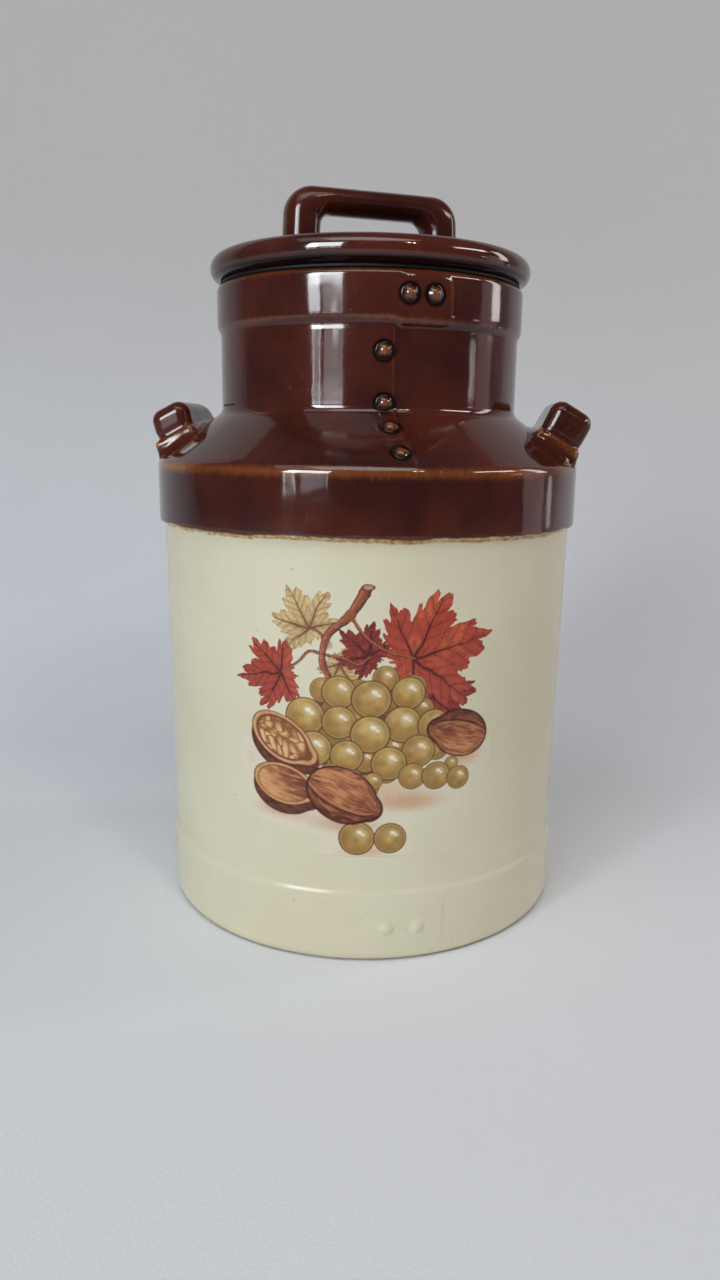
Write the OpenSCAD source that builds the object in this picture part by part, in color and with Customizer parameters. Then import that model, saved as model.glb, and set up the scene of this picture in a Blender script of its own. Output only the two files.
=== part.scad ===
// Milk-can food canister in glazed stoneware: a jar with two ears and a fruit
// transfer, and a lift-off lid with a loop handle and a rubber seal.
// Millimetres, +Z up. The origin is the centre of the foot, on the surface that
// the canister stands on. The fruit transfer faces -Y and the ears are on +X and -X.

/* [Jar] */
// Height of the jar, from the foot to the lip of the neck
jar_h = 243; // [235:1:255]
// Radius of the band round the foot
foot_r = 81; // [80:0.1:82]
// Height of the band round the foot
foot_band_h = 27.5; // [22:0.5:34]
// Radius of the cream wall where it leaves the foot band
wall_low_r = 80.2; // [79:0.1:81]
// Radius of the cream wall where it meets the shoulder band
wall_high_r = 81.5; // [80.5:0.1:82]
// Thickness of the fired wall
wall_t = 6.8; // [5:0.1:8]
// Thickness of the floor
floor_t = 7; // [5:0.5:10]

/* [Shoulder and neck] */
// Radius of the shoulder band
shoulder_r = 83.5; // [82.5:0.1:86]
// Height of the shoulder band's lower edge
shoulder_z = 154.3; // [148:0.1:158]
// Height of the shoulder band's upright face
shoulder_band_h = 21.2; // [18:0.1:24]
// Slope of the shoulder, in degrees below level
shoulder_slope = 36.8; // [34:0.1:39]
// Outer radius of the neck
neck_r = 58.2; // [56:0.1:60]
// How far the band round the neck stands proud
neck_band_t = 1.3; // [0.6:0.1:2]
// Height of the band round the neck
neck_band_h = 16.8; // [12:0.1:20]

/* [Riveted seam] */
// Diameter of a moulded rivet head
rivet_d = 5.8; // [4:0.1:8]
// How far a rivet head stands proud
rivet_h = 2; // [1:0.1:2.5]
// How far a lapped edge stands proud
lap_t = 0.5; // [0.3:0.1:0.8]
// Angle of the upright seam, from the front towards +X
seam_a = 14; // [8:0.5:20]

/* [Ears] */
// Length of an ear, along Y
ear_l = 46; // [36:1:50]
// Width of an ear across its foot
ear_w = 16.2; // [14:0.1:17]
// Height of an ear above its foot
ear_h = 12.8; // [10:0.1:14]
// Lean of the left ear out from upright, in degrees
left_lean = 13; // [5:1:30]
// Lean of the right ear out from upright, in degrees
right_lean = 27; // [5:1:30]

/* [Lid] */
// Outer radius of the rolled rim
lid_r = 62; // [60.5:0.1:64]
// Height of the rolled rim
rim_h = 9.6; // [8:0.1:11]
// Depth that the locating ring reaches into the neck
plug_depth = 11; // [8:0.5:16]
// Thickness of the seal between lid and neck
seal_t = 1.3; // [1:0.1:2]

/* [Handle] */
// Length of the loop handle
handle_l = 70; // [60:1:76]
// Height of the handle above the top of the rim
handle_rise = 25.3; // [22:0.1:32]
// Thickness of the handle's bar
handle_t = 9.5; // [8:0.1:10.5]
// Breadth of the handle's bar
handle_b = 16; // [13:0.5:18]
// Turn of the handle against the ears, in degrees
handle_a = 23; // [-90:1:90]

/* [Fruit transfer] */
// Thickness of the transfer on the wall
transfer_t = 0.25; // [0.15:0.05:0.4]
// Height of the middle of the picture
picture_z = 91; // [85:1:100]
// Turn of the picture from the front towards +X, in degrees
picture_a = 5; // [-15:1:15]

/* [Hidden] */
$fn = 96;

gap = 0.05;                  // clearance round the pieces that move
brown_glaze = "#40241c";
cream_glaze = "#ece4c8";

foot_edge_r = 4;             // rounding under the foot band
foot_ring_w = 9;             // width of the unglazed ring that the jar stands on
foot_recess = 3.5;           // depth of the hollow inside that ring
inside_edge_r = 10;          // rounding between floor and wall
ledge_edge_r = 0.9;          // rounding under the shoulder band
shoulder_edge_r = 3.5;       // rounding at the top of the shoulder band
neck_fillet_r = 4;           // hollow rounding between shoulder and neck
lip_outer_r = 2.4;           // rounding outside the lip
lip_inner_r = 1.2;           // rounding inside the lip
foot_step_h = 2.4;           // height over which the foot band steps in
neck_step_h = 4.4;           // height over which the neck band steps out
plug_gap = 1.8;              // clearance between the locating ring and the neck's bore
plug_t = 5;                  // thickness of the locating ring

band_r = neck_r + neck_band_t;
bore_r = neck_r - wall_t;
slope_run = cos(shoulder_slope);
slope_fall = sin(shoulder_slope);
// Where the shoulder band's rounding ends and the straight slope starts
slope_start = [shoulder_r - shoulder_edge_r, shoulder_z + shoulder_band_h]
    + shoulder_edge_r * [slope_fall, slope_run];

// Height of the shoulder's surface at radius r
function shoulder_height(r) = slope_start.y + (slope_start.x - r) * slope_fall / slope_run;
// Radius of the cream wall at height z
function wall_r(z) =
    wall_low_r + (wall_high_r - wall_low_r) * (z - foot_band_h) / (shoulder_z - foot_band_h);
// Points round an arc, from angle a0 to angle a1
function arc(centre, r, a0, a1, steps = 6) =
    [for (i = [0:steps]) let (a = a0 + (a1 - a0) * i / steps) centre + r * [cos(a), sin(a)]];

fillet_x = neck_r + neck_fillet_r;
fillet_z = shoulder_height(fillet_x - neck_fillet_r * slope_fall) + neck_fillet_r * slope_run;

// The middle of an ear's foot. The foot is less steep than the shoulder, so slip fills the wedge.
ear_x = (neck_r + shoulder_r) / 2 + 3;
ear_lift = 1.6;
ear_z = shoulder_height(ear_x) + ear_lift;
ear_foot_slope = 29;

// Turns its children so that +X becomes the direction at angle a from the front
module facing(a) rotate(a - 90) children();

// ---- Jar ----

module jar_outside() {
    band_z = jar_h - neck_band_h;
    rotate_extrude() polygon(concat(
        [[0, 0]],
        arc([foot_r - foot_edge_r, foot_edge_r], foot_edge_r, -90, 0),
        [[foot_r, foot_band_h - foot_step_h / 2]],
        [[wall_r(foot_band_h + foot_step_h / 2), foot_band_h + foot_step_h / 2]],
        [[wall_high_r, shoulder_z]],
        arc([shoulder_r - ledge_edge_r, shoulder_z + ledge_edge_r], ledge_edge_r, -90, 0, 3),
        arc([shoulder_r - shoulder_edge_r, shoulder_z + shoulder_band_h], shoulder_edge_r,
            0, 90 - shoulder_slope),
        arc([fillet_x, fillet_z], neck_fillet_r, 270 - shoulder_slope, 180),
        [[neck_r, band_z - neck_step_h / 2], [band_r, band_z + neck_step_h / 2]],
        arc([band_r - lip_outer_r, jar_h - lip_outer_r], lip_outer_r, 0, 90),
        [[0, jar_h]]
    ));
}

module jar_cavity() {
    floor_z = foot_recess + floor_t;
    inside_r = wall_low_r - wall_t;
    roof_shift = wall_t / slope_run;
    rotate_extrude() polygon(concat(
        [[0, floor_z]],
        arc([inside_r - inside_edge_r, floor_z + inside_edge_r], inside_edge_r, -90, 0),
        [[inside_r, shoulder_height(inside_r) - roof_shift]],
        [[bore_r, shoulder_height(bore_r) - roof_shift]],
        arc([bore_r + lip_inner_r, jar_h - lip_inner_r], lip_inner_r, 180, 90, 3),
        [[bore_r + lip_inner_r, jar_h + 1], [0, jar_h + 1]]
    ));
}

module foot_hollow() {
    hollow_r = foot_r - foot_edge_r - foot_ring_w;
    translate([0, 0, -1]) cylinder(h = foot_recess + 1, r1 = hollow_r + 1, r2 = hollow_r - 3);
}

// A rivet head at angle a on a surface of radius r and height z, leaning up by lean degrees
module rivet(a, r, z, lean = 0, h = rivet_h) {
    ball_r = (rivet_d * rivet_d / 4 + h * h) / (2 * h);
    facing(a) translate([r, 0, z]) rotate([0, -lean, 0])
        translate([h - ball_r, 0, 0]) sphere(ball_r, $fn = 48);
}

// The outside moved out at angle a, kept from angle a - span up to the edge at a:
// a sheet that thickens smoothly up to a lapped edge
module lap(a, z0, z1, span = 70) {
    reach = 2 * shoulder_r;
    intersection() {
        facing(a) translate([lap_t, 0, 0]) facing(90 - a) children();
        facing(a) translate([0, 0, z0]) linear_extrude(z1 - z0)
            polygon([[0, 0], for (turn = [0, -span / 2, -span]) reach * [cos(turn), sin(turn)]]);
    }
}

// The upright seam up the shoulder and neck, the tab at the neck band's end, and the foot band's end
module jar_laps() {
    band_z = jar_h - neck_band_h;
    tab_span = 20;
    lap(seam_a, shoulder_z + shoulder_band_h + 4, band_z - neck_step_h / 2) jar_outside();
    lap(seam_a + tab_span, band_z + neck_step_h / 2, jar_h - lip_outer_r, tab_span) jar_outside();
    lap(seam_a + 13, foot_edge_r + 1, foot_band_h - foot_step_h / 2, 40) jar_outside();
}

// Two rivets in the neck band's tab, two down the neck, two down the shoulder and two in the foot band
module jar_rivets() {
    band_pitch_a = 8.7;
    foot_pitch_a = 8;
    neck_pitch = 17.4;
    band_rivet_z = jar_h - 8.2;
    neck_rivet_z = band_rivet_z - 18.6;
    shoulder_rivets = [65.8, 76.9];
    for (side = [0, 1]) {
        rivet(seam_a + 4 + band_pitch_a * side, band_r, band_rivet_z);
        rivet(seam_a - 4, neck_r, neck_rivet_z - neck_pitch * side);
        rivet(seam_a - 2.4 + foot_pitch_a * side, foot_r, foot_band_h / 2, 0, rivet_h * 0.6);
    }
    for (i = [0, 1]) let (r = shoulder_rivets[i])
        rivet(seam_a - 2.4 + 1.6 * i, r, shoulder_height(r), 90 - shoulder_slope);
}

module jar_shell() {
    difference() {
        union() {
            jar_outside();
            jar_laps();
            jar_rivets();
        }
        jar_cavity();
        foot_hollow();
    }
}

// Cream glaze up to the shoulder band and brown glaze above it, on one fired shell
module jar_body() {
    tall = [3 * shoulder_r, 3 * shoulder_r, shoulder_z];
    color(cream_glaze) intersection() {
        jar_shell();
        translate([-tall.x / 2, -tall.y / 2, 0]) cube(tall);
    }
    color(brown_glaze) difference() {
        jar_shell();
        translate([-tall.x / 2, -tall.y / 2, 0]) cube(tall);
    }
}

// ---- Ears ----

// A block with rounded edges whose cross-section is a parallelogram: its foot and
// top slope with the shoulder, and its sides lean out by lean degrees
module leaning_block(w, l, low, high, lean, edge_r) {
    side = [sin(lean), cos(lean)];
    hull() for (x = [-1, 1], y = [-1, 1], h = [low + edge_r, high - edge_r])
        translate([
            x * (w / 2 - edge_r) * cos(ear_foot_slope) + h * side.x,
            y * (l / 2 - edge_r),
            -x * (w / 2 - edge_r) * sin(ear_foot_slope) + h * side.y
        ]) sphere(edge_r, $fn = 32);
}

// One ear on the +X side: the block, a bead round its foot, and the slip under it
module ear(lean) {
    ear_edge_r = 3.6;
    bead_t = 0.9;
    bead_h = 3;
    slip_inset = 0.6;
    slip_reach = 9;
    slip_lean = 12;
    difference() {
        translate([ear_x, 0, ear_z]) {
            leaning_block(ear_w, ear_l, -0.5, ear_h, lean, ear_edge_r);
            leaning_block(ear_w + 2 * bead_t, ear_l + 2 * bead_t, -bead_h / 2, bead_h / 2, lean, 1.3);
            leaning_block(ear_w - 2 * slip_inset, ear_l - 2 * slip_inset, -slip_reach, 3, slip_lean, 2);
        }
        jar_outside();
    }
}

module right_ear() {
    color(brown_glaze) ear(right_lean);
}

module left_ear() {
    color(brown_glaze) mirror([1, 0, 0]) ear(left_lean);
}

// ---- Fruit transfer ----

// A lobed leaf: the radius swells at each lobe and narrows between lobes
module leaf(r, turn, lobes = 5) {
    points = 40;
    rotate(turn) polygon([for (i = [0:points - 1]) let (a = 360 * i / points)
        r * (0.74 + 0.26 * cos(lobes * a)) * [cos(a), sin(a)]]);
}

// The outline of the picture, flat, with its middle at the origin: a stem and three
// leaves over a bunch of grapes, with walnuts beside it and two loose grapes below
module picture_outline() {
    grape_r = 7.2;
    grape_pitch = 12.5;
    grape_rows = 4;
    translate([24, 25]) leaf(24, 15);
    translate([-33, 20]) leaf(16, 40);
    translate([-16, 36]) leaf(14, 80);
    for (i = [0:4]) translate([-2 + i * 1.5, 20 + i * 6]) circle(4.5);
    for (row = [0:grape_rows - 1], i = [0:grape_rows - row])
        translate([(i - (grape_rows - row) / 2) * grape_pitch + 1, 10 - row * 11]) circle(grape_r);
    for (x = [3, 14]) translate([x, -42]) circle(grape_r);
    translate([-32, -13]) circle(13.5);
    translate([-30, -30]) circle(12);
    translate([-10, -29]) circle(13);
    translate([36, -6]) circle(11.5);
}

module fruit_transfer() {
    half_h = 49;
    z0 = picture_z - half_h;
    z1 = picture_z + half_h;
    color("#b08a3a") intersection() {
        rotate_extrude() polygon([
            [wall_r(z0), z0], [wall_r(z0) + transfer_t, z0],
            [wall_r(z1) + transfer_t, z1], [wall_r(z1), z1]
        ]);
        facing(picture_a) translate([0, 0, picture_z]) rotate([90, 0, 90]) linear_extrude(shoulder_r + 5)
            picture_outline();
    }
}

// ---- Lid ----

seat_z = jar_h + seal_t + 2 * gap;
rim_top = seat_z + rim_h;
plug_r = bore_r - plug_gap;

// A slightly domed panel inside a rolled rim, with a locating ring under it
module lid_plate() {
    rim_r = rim_h / 2;
    plug_in_r = plug_r - plug_t;
    plug_edge_r = 1.5;
    plug_z = seat_z - plug_depth;
    panel_r = lid_r - 11;
    panel_z = rim_top - 2.2;
    color(brown_glaze) rotate_extrude() polygon(concat(
        [[0, panel_z + 1.2], [panel_r / 2, panel_z + 0.9]],
        [[panel_r, panel_z], [panel_r + 2, panel_z + 0.3]],
        arc([lid_r - rim_r, seat_z + rim_r], rim_r, 110, -90, 14),
        [[plug_r, seat_z]],
        arc([plug_r - plug_edge_r, plug_z + plug_edge_r], plug_edge_r, 0, -90, 3),
        arc([plug_in_r + plug_edge_r, plug_z + plug_edge_r], plug_edge_r, -90, -180, 3),
        [[plug_in_r, seat_z - 2], [plug_in_r - 3, seat_z + 0.8], [0, seat_z + 1.6]]
    ));
}

// The cross-section of the handle's bar
module bar_section() {
    edge_r = 3.6;
    union() {
        square([handle_t - 2 * edge_r, handle_b], center = true);
        square([handle_t, handle_b - 2 * edge_r], center = true);
        for (x = [-1, 1], y = [-1, 1])
            translate([x * (handle_t / 2 - edge_r), y * (handle_b / 2 - edge_r)]) circle(edge_r);
    }
}

// Two posts and a bar in one bent loop
module lid_handle() {
    bend_r = 5.6;
    half_l = (handle_l - handle_t) / 2;
    bar_z = rim_top + handle_rise - handle_t / 2;
    post_h = bar_z - bend_r - rim_top + 3;
    color(brown_glaze) difference() {
        rotate(handle_a) union() {
            translate([-half_l + bend_r, 0, bar_z]) rotate([0, 90, 0])
                linear_extrude(2 * (half_l - bend_r)) bar_section();
            for (side = [0, 1]) mirror([side, 0, 0]) {
                translate([half_l, 0, bar_z - bend_r - post_h]) linear_extrude(post_h) bar_section();
                translate([half_l - bend_r, 0, bar_z - bend_r]) rotate([90, 0, 0])
                    rotate_extrude(angle = 90) translate([bend_r, 0]) bar_section();
            }
        }
        lid_plate();
    }
}

// A flat ring between lid and neck, with a collar and one lip inside the neck
module lid_seal() {
    ring_r = band_r - 1.4;
    hole_r = plug_r + gap;
    collar_r = bore_r - 0.6;
    lip_r = bore_r - 0.2;
    ring_z = jar_h + gap;
    collar_z = jar_h - 7;
    color("#141414") rotate_extrude() polygon([
        [hole_r, ring_z + seal_t], [ring_r, ring_z + seal_t], [ring_r, ring_z],
        [collar_r, ring_z], [collar_r, collar_z + 3], [lip_r, collar_z + 2],
        [collar_r, collar_z + 1], [collar_r - 0.6, collar_z], [hole_r, collar_z]
    ]);
}

jar_body();
left_ear();
right_ear();
fruit_transfer();
lid_plate();
lid_handle();
lid_seal();
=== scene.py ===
import math

import bmesh
import bpy
import numpy as np
from mathutils import Matrix, Vector


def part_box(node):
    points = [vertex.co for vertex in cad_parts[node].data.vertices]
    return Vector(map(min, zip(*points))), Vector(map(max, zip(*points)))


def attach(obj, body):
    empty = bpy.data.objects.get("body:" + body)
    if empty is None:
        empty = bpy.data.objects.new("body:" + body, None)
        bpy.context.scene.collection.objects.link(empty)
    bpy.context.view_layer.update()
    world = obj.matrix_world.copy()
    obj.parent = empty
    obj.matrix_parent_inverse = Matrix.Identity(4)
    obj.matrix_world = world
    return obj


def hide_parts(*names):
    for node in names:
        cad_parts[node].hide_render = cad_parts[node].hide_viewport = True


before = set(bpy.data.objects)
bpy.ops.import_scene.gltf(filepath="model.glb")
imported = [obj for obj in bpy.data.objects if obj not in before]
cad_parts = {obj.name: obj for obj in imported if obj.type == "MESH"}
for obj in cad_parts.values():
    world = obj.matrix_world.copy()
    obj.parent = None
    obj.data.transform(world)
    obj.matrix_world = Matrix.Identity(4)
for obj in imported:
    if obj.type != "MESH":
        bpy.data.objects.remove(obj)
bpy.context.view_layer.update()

# Every size below is in millimetres in the frame's axes, and becomes metres in build_mesh().
MM = 0.001


def node_box(node):
    """The lowest and highest corners of a CAD node, in millimetres."""
    low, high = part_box(node)
    return np.array(low) / MM, np.array(high) / MM


# ---- Sizes taken from the frame ----

JAR_HIGH = node_box("jar_body")[1]
PLATE_LOW, PLATE_HIGH = node_box("lid_plate")
HANDLE_HIGH = node_box("lid_handle")[1]
SEAL_LOW, SEAL_HIGH = node_box("lid_seal")
PICTURE_LOW, PICTURE_HIGH = node_box("fruit_transfer")

JAR_H = JAR_HIGH[2]
SHOULDER_R = JAR_HIGH[0]
LID_R = PLATE_HIGH[0]
LID_TOP = PLATE_HIGH[2]
SEAL_R = SEAL_HIGH[0]

# ---- Jar ----

FOOT_R = SHOULDER_R - 2.5
FOOT_BAND_H = 27.5
FOOT_EDGE_R = 4.0
FOOT_RING_W = 9.0
FOOT_RECESS = 3.5
FLOOR_T = 7.0
WALL_T = 6.8
WALL_LOW_R = SHOULDER_R - 3.3
WALL_HIGH_R = SHOULDER_R - 2.0
SHOULDER_Z = 154.3
SHOULDER_BAND_H = 21.2
SHOULDER_EDGE_R = 3.5
SLOPE = math.radians(36.8)
LEDGE_R = 0.9
NECK_R = 58.2
NECK_FILLET_R = 4.0
NECK_BAND_T = 1.3
NECK_BAND_H = 16.8
BAND_R = NECK_R + NECK_BAND_T
BORE_R = NECK_R - WALL_T
LIP_R = 2.4
LIP_INNER_R = 1.2
BAND_STEP_R = 4.5
FOOT_STEP_R = 2.4
SLOPE_START = (
    SHOULDER_R - SHOULDER_EDGE_R + SHOULDER_EDGE_R * math.sin(SLOPE),
    SHOULDER_Z + SHOULDER_BAND_H + SHOULDER_EDGE_R * math.cos(SLOPE),
)

# ---- Riveted seam: angles in degrees from the front (-Y) towards +X ----

SEAM_A = 14.0
RIVET_R = 2.7
RIVET_H = 1.7
RIVET_FOOT = 0.3
BAND_LAP_T = 0.5
SEAM_LAP_T = 0.4
FOOT_LAP_T = 0.35
TAB_END_A = 33.7
FOOT_LAP_A = 26.7

# ---- Glaze lines, outside and inside ----

GLAZE_LINE_Z = SHOULDER_Z + 0.2
INSIDE_LINE_Z = JAR_H - 9.0

# ---- Seal and handle ----

SEAL_LOW_R = BORE_R - 1.8 + 0.05
HANDLE_TURN = math.radians(23.0)
HANDLE_HALF = 34.0
HANDLE_TAPER = 0.05
HANDLE_T = 9.6
HANDLE_POST_T = 14.0
HANDLE_B = 16.5
HANDLE_OVAL = 2.2
HANDLE_OUTER_R = 10.0
HANDLE_INNER_R = 4.0
PANEL_Z = LID_TOP - 2.2

# ---- Ears: each cross-section is inner foot, outer foot, outer top, inner top ----

EAR_L = 46.0
EAR_EDGE_R = 4.7
EAR_BEAD = 1.7
EAR_FLARE = 0.5
BEAD_L = EAR_L + 0.8
BEAD_R = EAR_BEAD * 0.95
LEFT_EAR = ((67.0, 189.8), (80.7, 182.4), (84.0, 194.6), (69.6, 202.0))
RIGHT_EAR = ((66.6, 190.0), (81.1, 181.8), (87.6, 194.6), (72.8, 203.5))

# ---- Picture ----

PICTURE_TURN = math.radians(5.0)
PICTURE_HALF = 49.5
PICTURE_PITCH = 0.25
SHEET_T = 0.05


def shoulder_height(r):
    """Height of the shoulder's straight slope at radius r."""
    return SLOPE_START[1] + (SLOPE_START[0] - r) * math.tan(SLOPE)


def wall_radius(z):
    """Radius of the cream wall at height z."""
    share = (z - FOOT_BAND_H) / (SHOULDER_Z - FOOT_BAND_H)
    return WALL_LOW_R + (WALL_HIGH_R - WALL_LOW_R) * share


def smoothstep(low, high, x):
    """0 below low, 1 above high, and smooth between."""
    t = np.clip((x - low) / (high - low), 0.0, 1.0)
    return t * t * (3.0 - 2.0 * t)


def bell(x, middle, spread):
    """1 at middle, falling smoothly to nothing about two spreads away."""
    return np.exp(-(((x - middle) / spread) ** 2))


def arc(x, z, r, start, end, step=0.3):
    """Points round an arc of a profile, from start to end in degrees."""
    count = max(3, int(abs(math.radians(end - start)) * r / step))
    angles = np.radians(np.linspace(start, end, count + 1))
    return [(x + r * math.cos(a), z + r * math.sin(a)) for a in angles]


def line(start, end, step):
    """Points along a straight stretch of a profile, without its two ends."""
    count = max(1, int(math.dist(start, end) / step))
    return [
        (start[0] + (end[0] - start[0]) * i / count, start[1] + (end[1] - start[1]) * i / count)
        for i in range(1, count)
    ]


def joined(*stretches):
    """One profile from stretches given as (step, points): straight gaps are filled at that step."""
    points = []
    for step, stretch in stretches:
        if points:
            points += line(points[-1], stretch[0], step)
        points += stretch
    return np.array(points)


def soft_step(low_r, high_r, z, bend_r):
    """An S-shaped change of radius at height z, upwards from low_r to high_r."""
    bend = math.acos(1 - abs(high_r - low_r) / (2 * bend_r))
    half = bend_r * math.sin(bend)
    bend = math.degrees(bend)
    if low_r > high_r:
        first = arc(low_r - bend_r, z - half, bend_r, 0, bend)
        return first + arc(high_r + bend_r, z + half, bend_r, 180 + bend, 180)
    first = arc(low_r + bend_r, z - half, bend_r, 180, 180 - bend)
    return first + arc(high_r - bend_r, z + half, bend_r, -bend, 0)


def build_mesh(name, verts, faces):
    """A smooth-shaded mesh object from millimetre points."""
    mesh = bpy.data.meshes.new(name)
    mesh.from_pydata((np.asarray(verts) * MM).tolist(), [], faces)
    mesh.update()
    mesh.polygons.foreach_set("use_smooth", [True] * len(mesh.polygons))
    obj = bpy.data.objects.new(name, mesh)
    bpy.context.scene.collection.objects.link(obj)
    return obj


def put_attribute(obj, name, values):
    """Stores one number per vertex, for a material to read."""
    attribute = obj.data.attributes.new(name, "FLOAT", "POINT")
    attribute.data.foreach_set("value", np.asarray(values, dtype=np.float32))


def glaze_amounts(bend):
    """How thin the glaze runs over edges and how thick it pools in hollows, from radians per mm."""
    return smoothstep(0.12, 0.5, bend), smoothstep(0.1, 0.5, -bend)


def profile_bend(profile, spread=1.1):
    """How sharply a profile turns at each of its points, in radians per mm, smoothed over spread mm."""
    step = np.diff(profile, axis=0)
    heading = np.unwrap(np.arctan2(step[:, 1], step[:, 0]))
    place = np.concatenate([[0], np.cumsum(np.linalg.norm(step, axis=1))])
    turn = np.zeros(len(profile))
    turn[1:-1] = np.diff(heading)
    gap = (place[:, None] - place[None]) / spread
    return (np.exp(-0.5 * gap**2) * turn).sum(1) / (spread * math.sqrt(2 * math.pi))


def lathe_grid(profile, angles):
    """Points and unit normals of a turned surface, as (profile, angle) grids."""
    r = profile[:, 0][:, None]
    z = profile[:, 1][:, None]
    cos, sin = np.cos(angles)[None], np.sin(angles)[None]
    points = np.stack([r * cos, r * sin, z + 0 * cos], axis=2)
    step = np.gradient(profile, axis=0)
    step /= np.linalg.norm(step, axis=1)[:, None] + 1e-9
    out = step[:, 1][:, None]
    up = -step[:, 0][:, None]
    normals = np.stack([out * cos, out * sin, up + 0 * cos], axis=2)
    return points, normals


def lathe_faces(rows, columns, closed):
    """Quads of a turned grid. A closed profile is joined from its last row back to its first."""
    faces = []
    last_row = rows if closed else rows - 1
    for i in range(last_row):
        below = i * columns
        above = ((i + 1) % rows) * columns
        for j in range(columns):
            k = (j + 1) % columns
            faces.append((below + j, below + k, above + k, above + j))
    return faces


def weld(obj, distance=1e-6):
    """Merges the points that coincide, such as those on the axis."""
    work = bmesh.new()
    work.from_mesh(obj.data)
    bmesh.ops.remove_doubles(work, verts=work.verts, dist=distance)
    work.to_mesh(obj.data)
    work.free()
    return obj


def front_angles(fine_from, fine_to, fine, coarse):
    """Angles round the jar, in degrees from the front, closer together between fine_from and fine_to."""
    inner = np.arange(fine_from, fine_to, fine)
    outer = np.linspace(fine_to, fine_from + 360, int((fine_from + 360 - fine_to) / coarse) + 1)[:-1]
    return np.concatenate([inner, outer])


# ---- The jar's turned shape, rivets and laps ----


def jar_profile():
    """The jar's outline: from the middle of its underside up the outside, and down the inside."""
    hollow_r = FOOT_R - FOOT_EDGE_R - FOOT_RING_W
    floor_z = FOOT_RECESS + FLOOR_T
    fillet_x = NECK_R + NECK_FILLET_R
    fillet_z = shoulder_height(fillet_x - NECK_FILLET_R * math.sin(SLOPE)) + NECK_FILLET_R * math.cos(SLOPE)
    band_z = JAR_H - NECK_BAND_H
    inside_r = WALL_LOW_R - WALL_T
    roof_drop = WALL_T / math.cos(SLOPE)
    slope_degrees = math.degrees(SLOPE)
    outside = joined(
        (8, [(0, FOOT_RECESS)]),
        (8, arc(hollow_r - 3, FOOT_RECESS - 1, 1, 90, 20)),
        (1.5, arc(hollow_r + 2.2, 1.2, 1.2, 200, 270)),
        (2, arc(FOOT_R - FOOT_EDGE_R, FOOT_EDGE_R, FOOT_EDGE_R, -90, 0)),
        (0.55, soft_step(FOOT_R, WALL_LOW_R, FOOT_BAND_H, FOOT_STEP_R)),
        (2.4, [(WALL_HIGH_R, SHOULDER_Z - 0.6)]),
        (0.3, [(WALL_HIGH_R + 0.2, SHOULDER_Z)]),
        (0.3, arc(SHOULDER_R - LEDGE_R, SHOULDER_Z + LEDGE_R, LEDGE_R, -80, 0, 0.15)),
        (1.2, arc(SHOULDER_R - SHOULDER_EDGE_R, SHOULDER_Z + SHOULDER_BAND_H, SHOULDER_EDGE_R,
                  0, 90 - slope_degrees)),
        (0.4, arc(fillet_x, fillet_z, NECK_FILLET_R, 270 - slope_degrees, 180)),
        (0.4, soft_step(NECK_R, BAND_R, band_z, BAND_STEP_R)),
        (0.4, arc(BAND_R - LIP_R, JAR_H - LIP_R, LIP_R, 0, 90)),
    )
    inside = joined(
        (0.5, arc(BORE_R + LIP_INNER_R, JAR_H - LIP_INNER_R, LIP_INNER_R, 90, 180)),
        (2.5, [(BORE_R, shoulder_height(BORE_R) - roof_drop)]),
        (3, [(inside_r, shoulder_height(inside_r) - roof_drop)]),
        (4, arc(inside_r - 10, floor_z + 10, 10, 0, -90, 1.5)),
        (6, [(0, floor_z)]),
    )
    return outside, inside


def rivet_places():
    """(angle from the front, radius, height, size) of each moulded rivet head."""
    places = [(SEAM_A + 4 + 8.7 * side, BAND_R, JAR_H - 8.2, 1.0) for side in (0, 1)]
    places += [(SEAM_A - 4 + 0.3 * side, NECK_R, JAR_H - 26.8 - 17.4 * side, 1.0) for side in (0, 1)]
    places += [(SEAM_A - 2.5 + (r - 65) / 7, r, shoulder_height(r), 0.85) for r in (65.8, 76.9)]
    places += [(SEAM_A - 2.4 + 8 * side, FOOT_R, FOOT_BAND_H / 2, 0.65) for side in (0, 1)]
    return places


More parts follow.
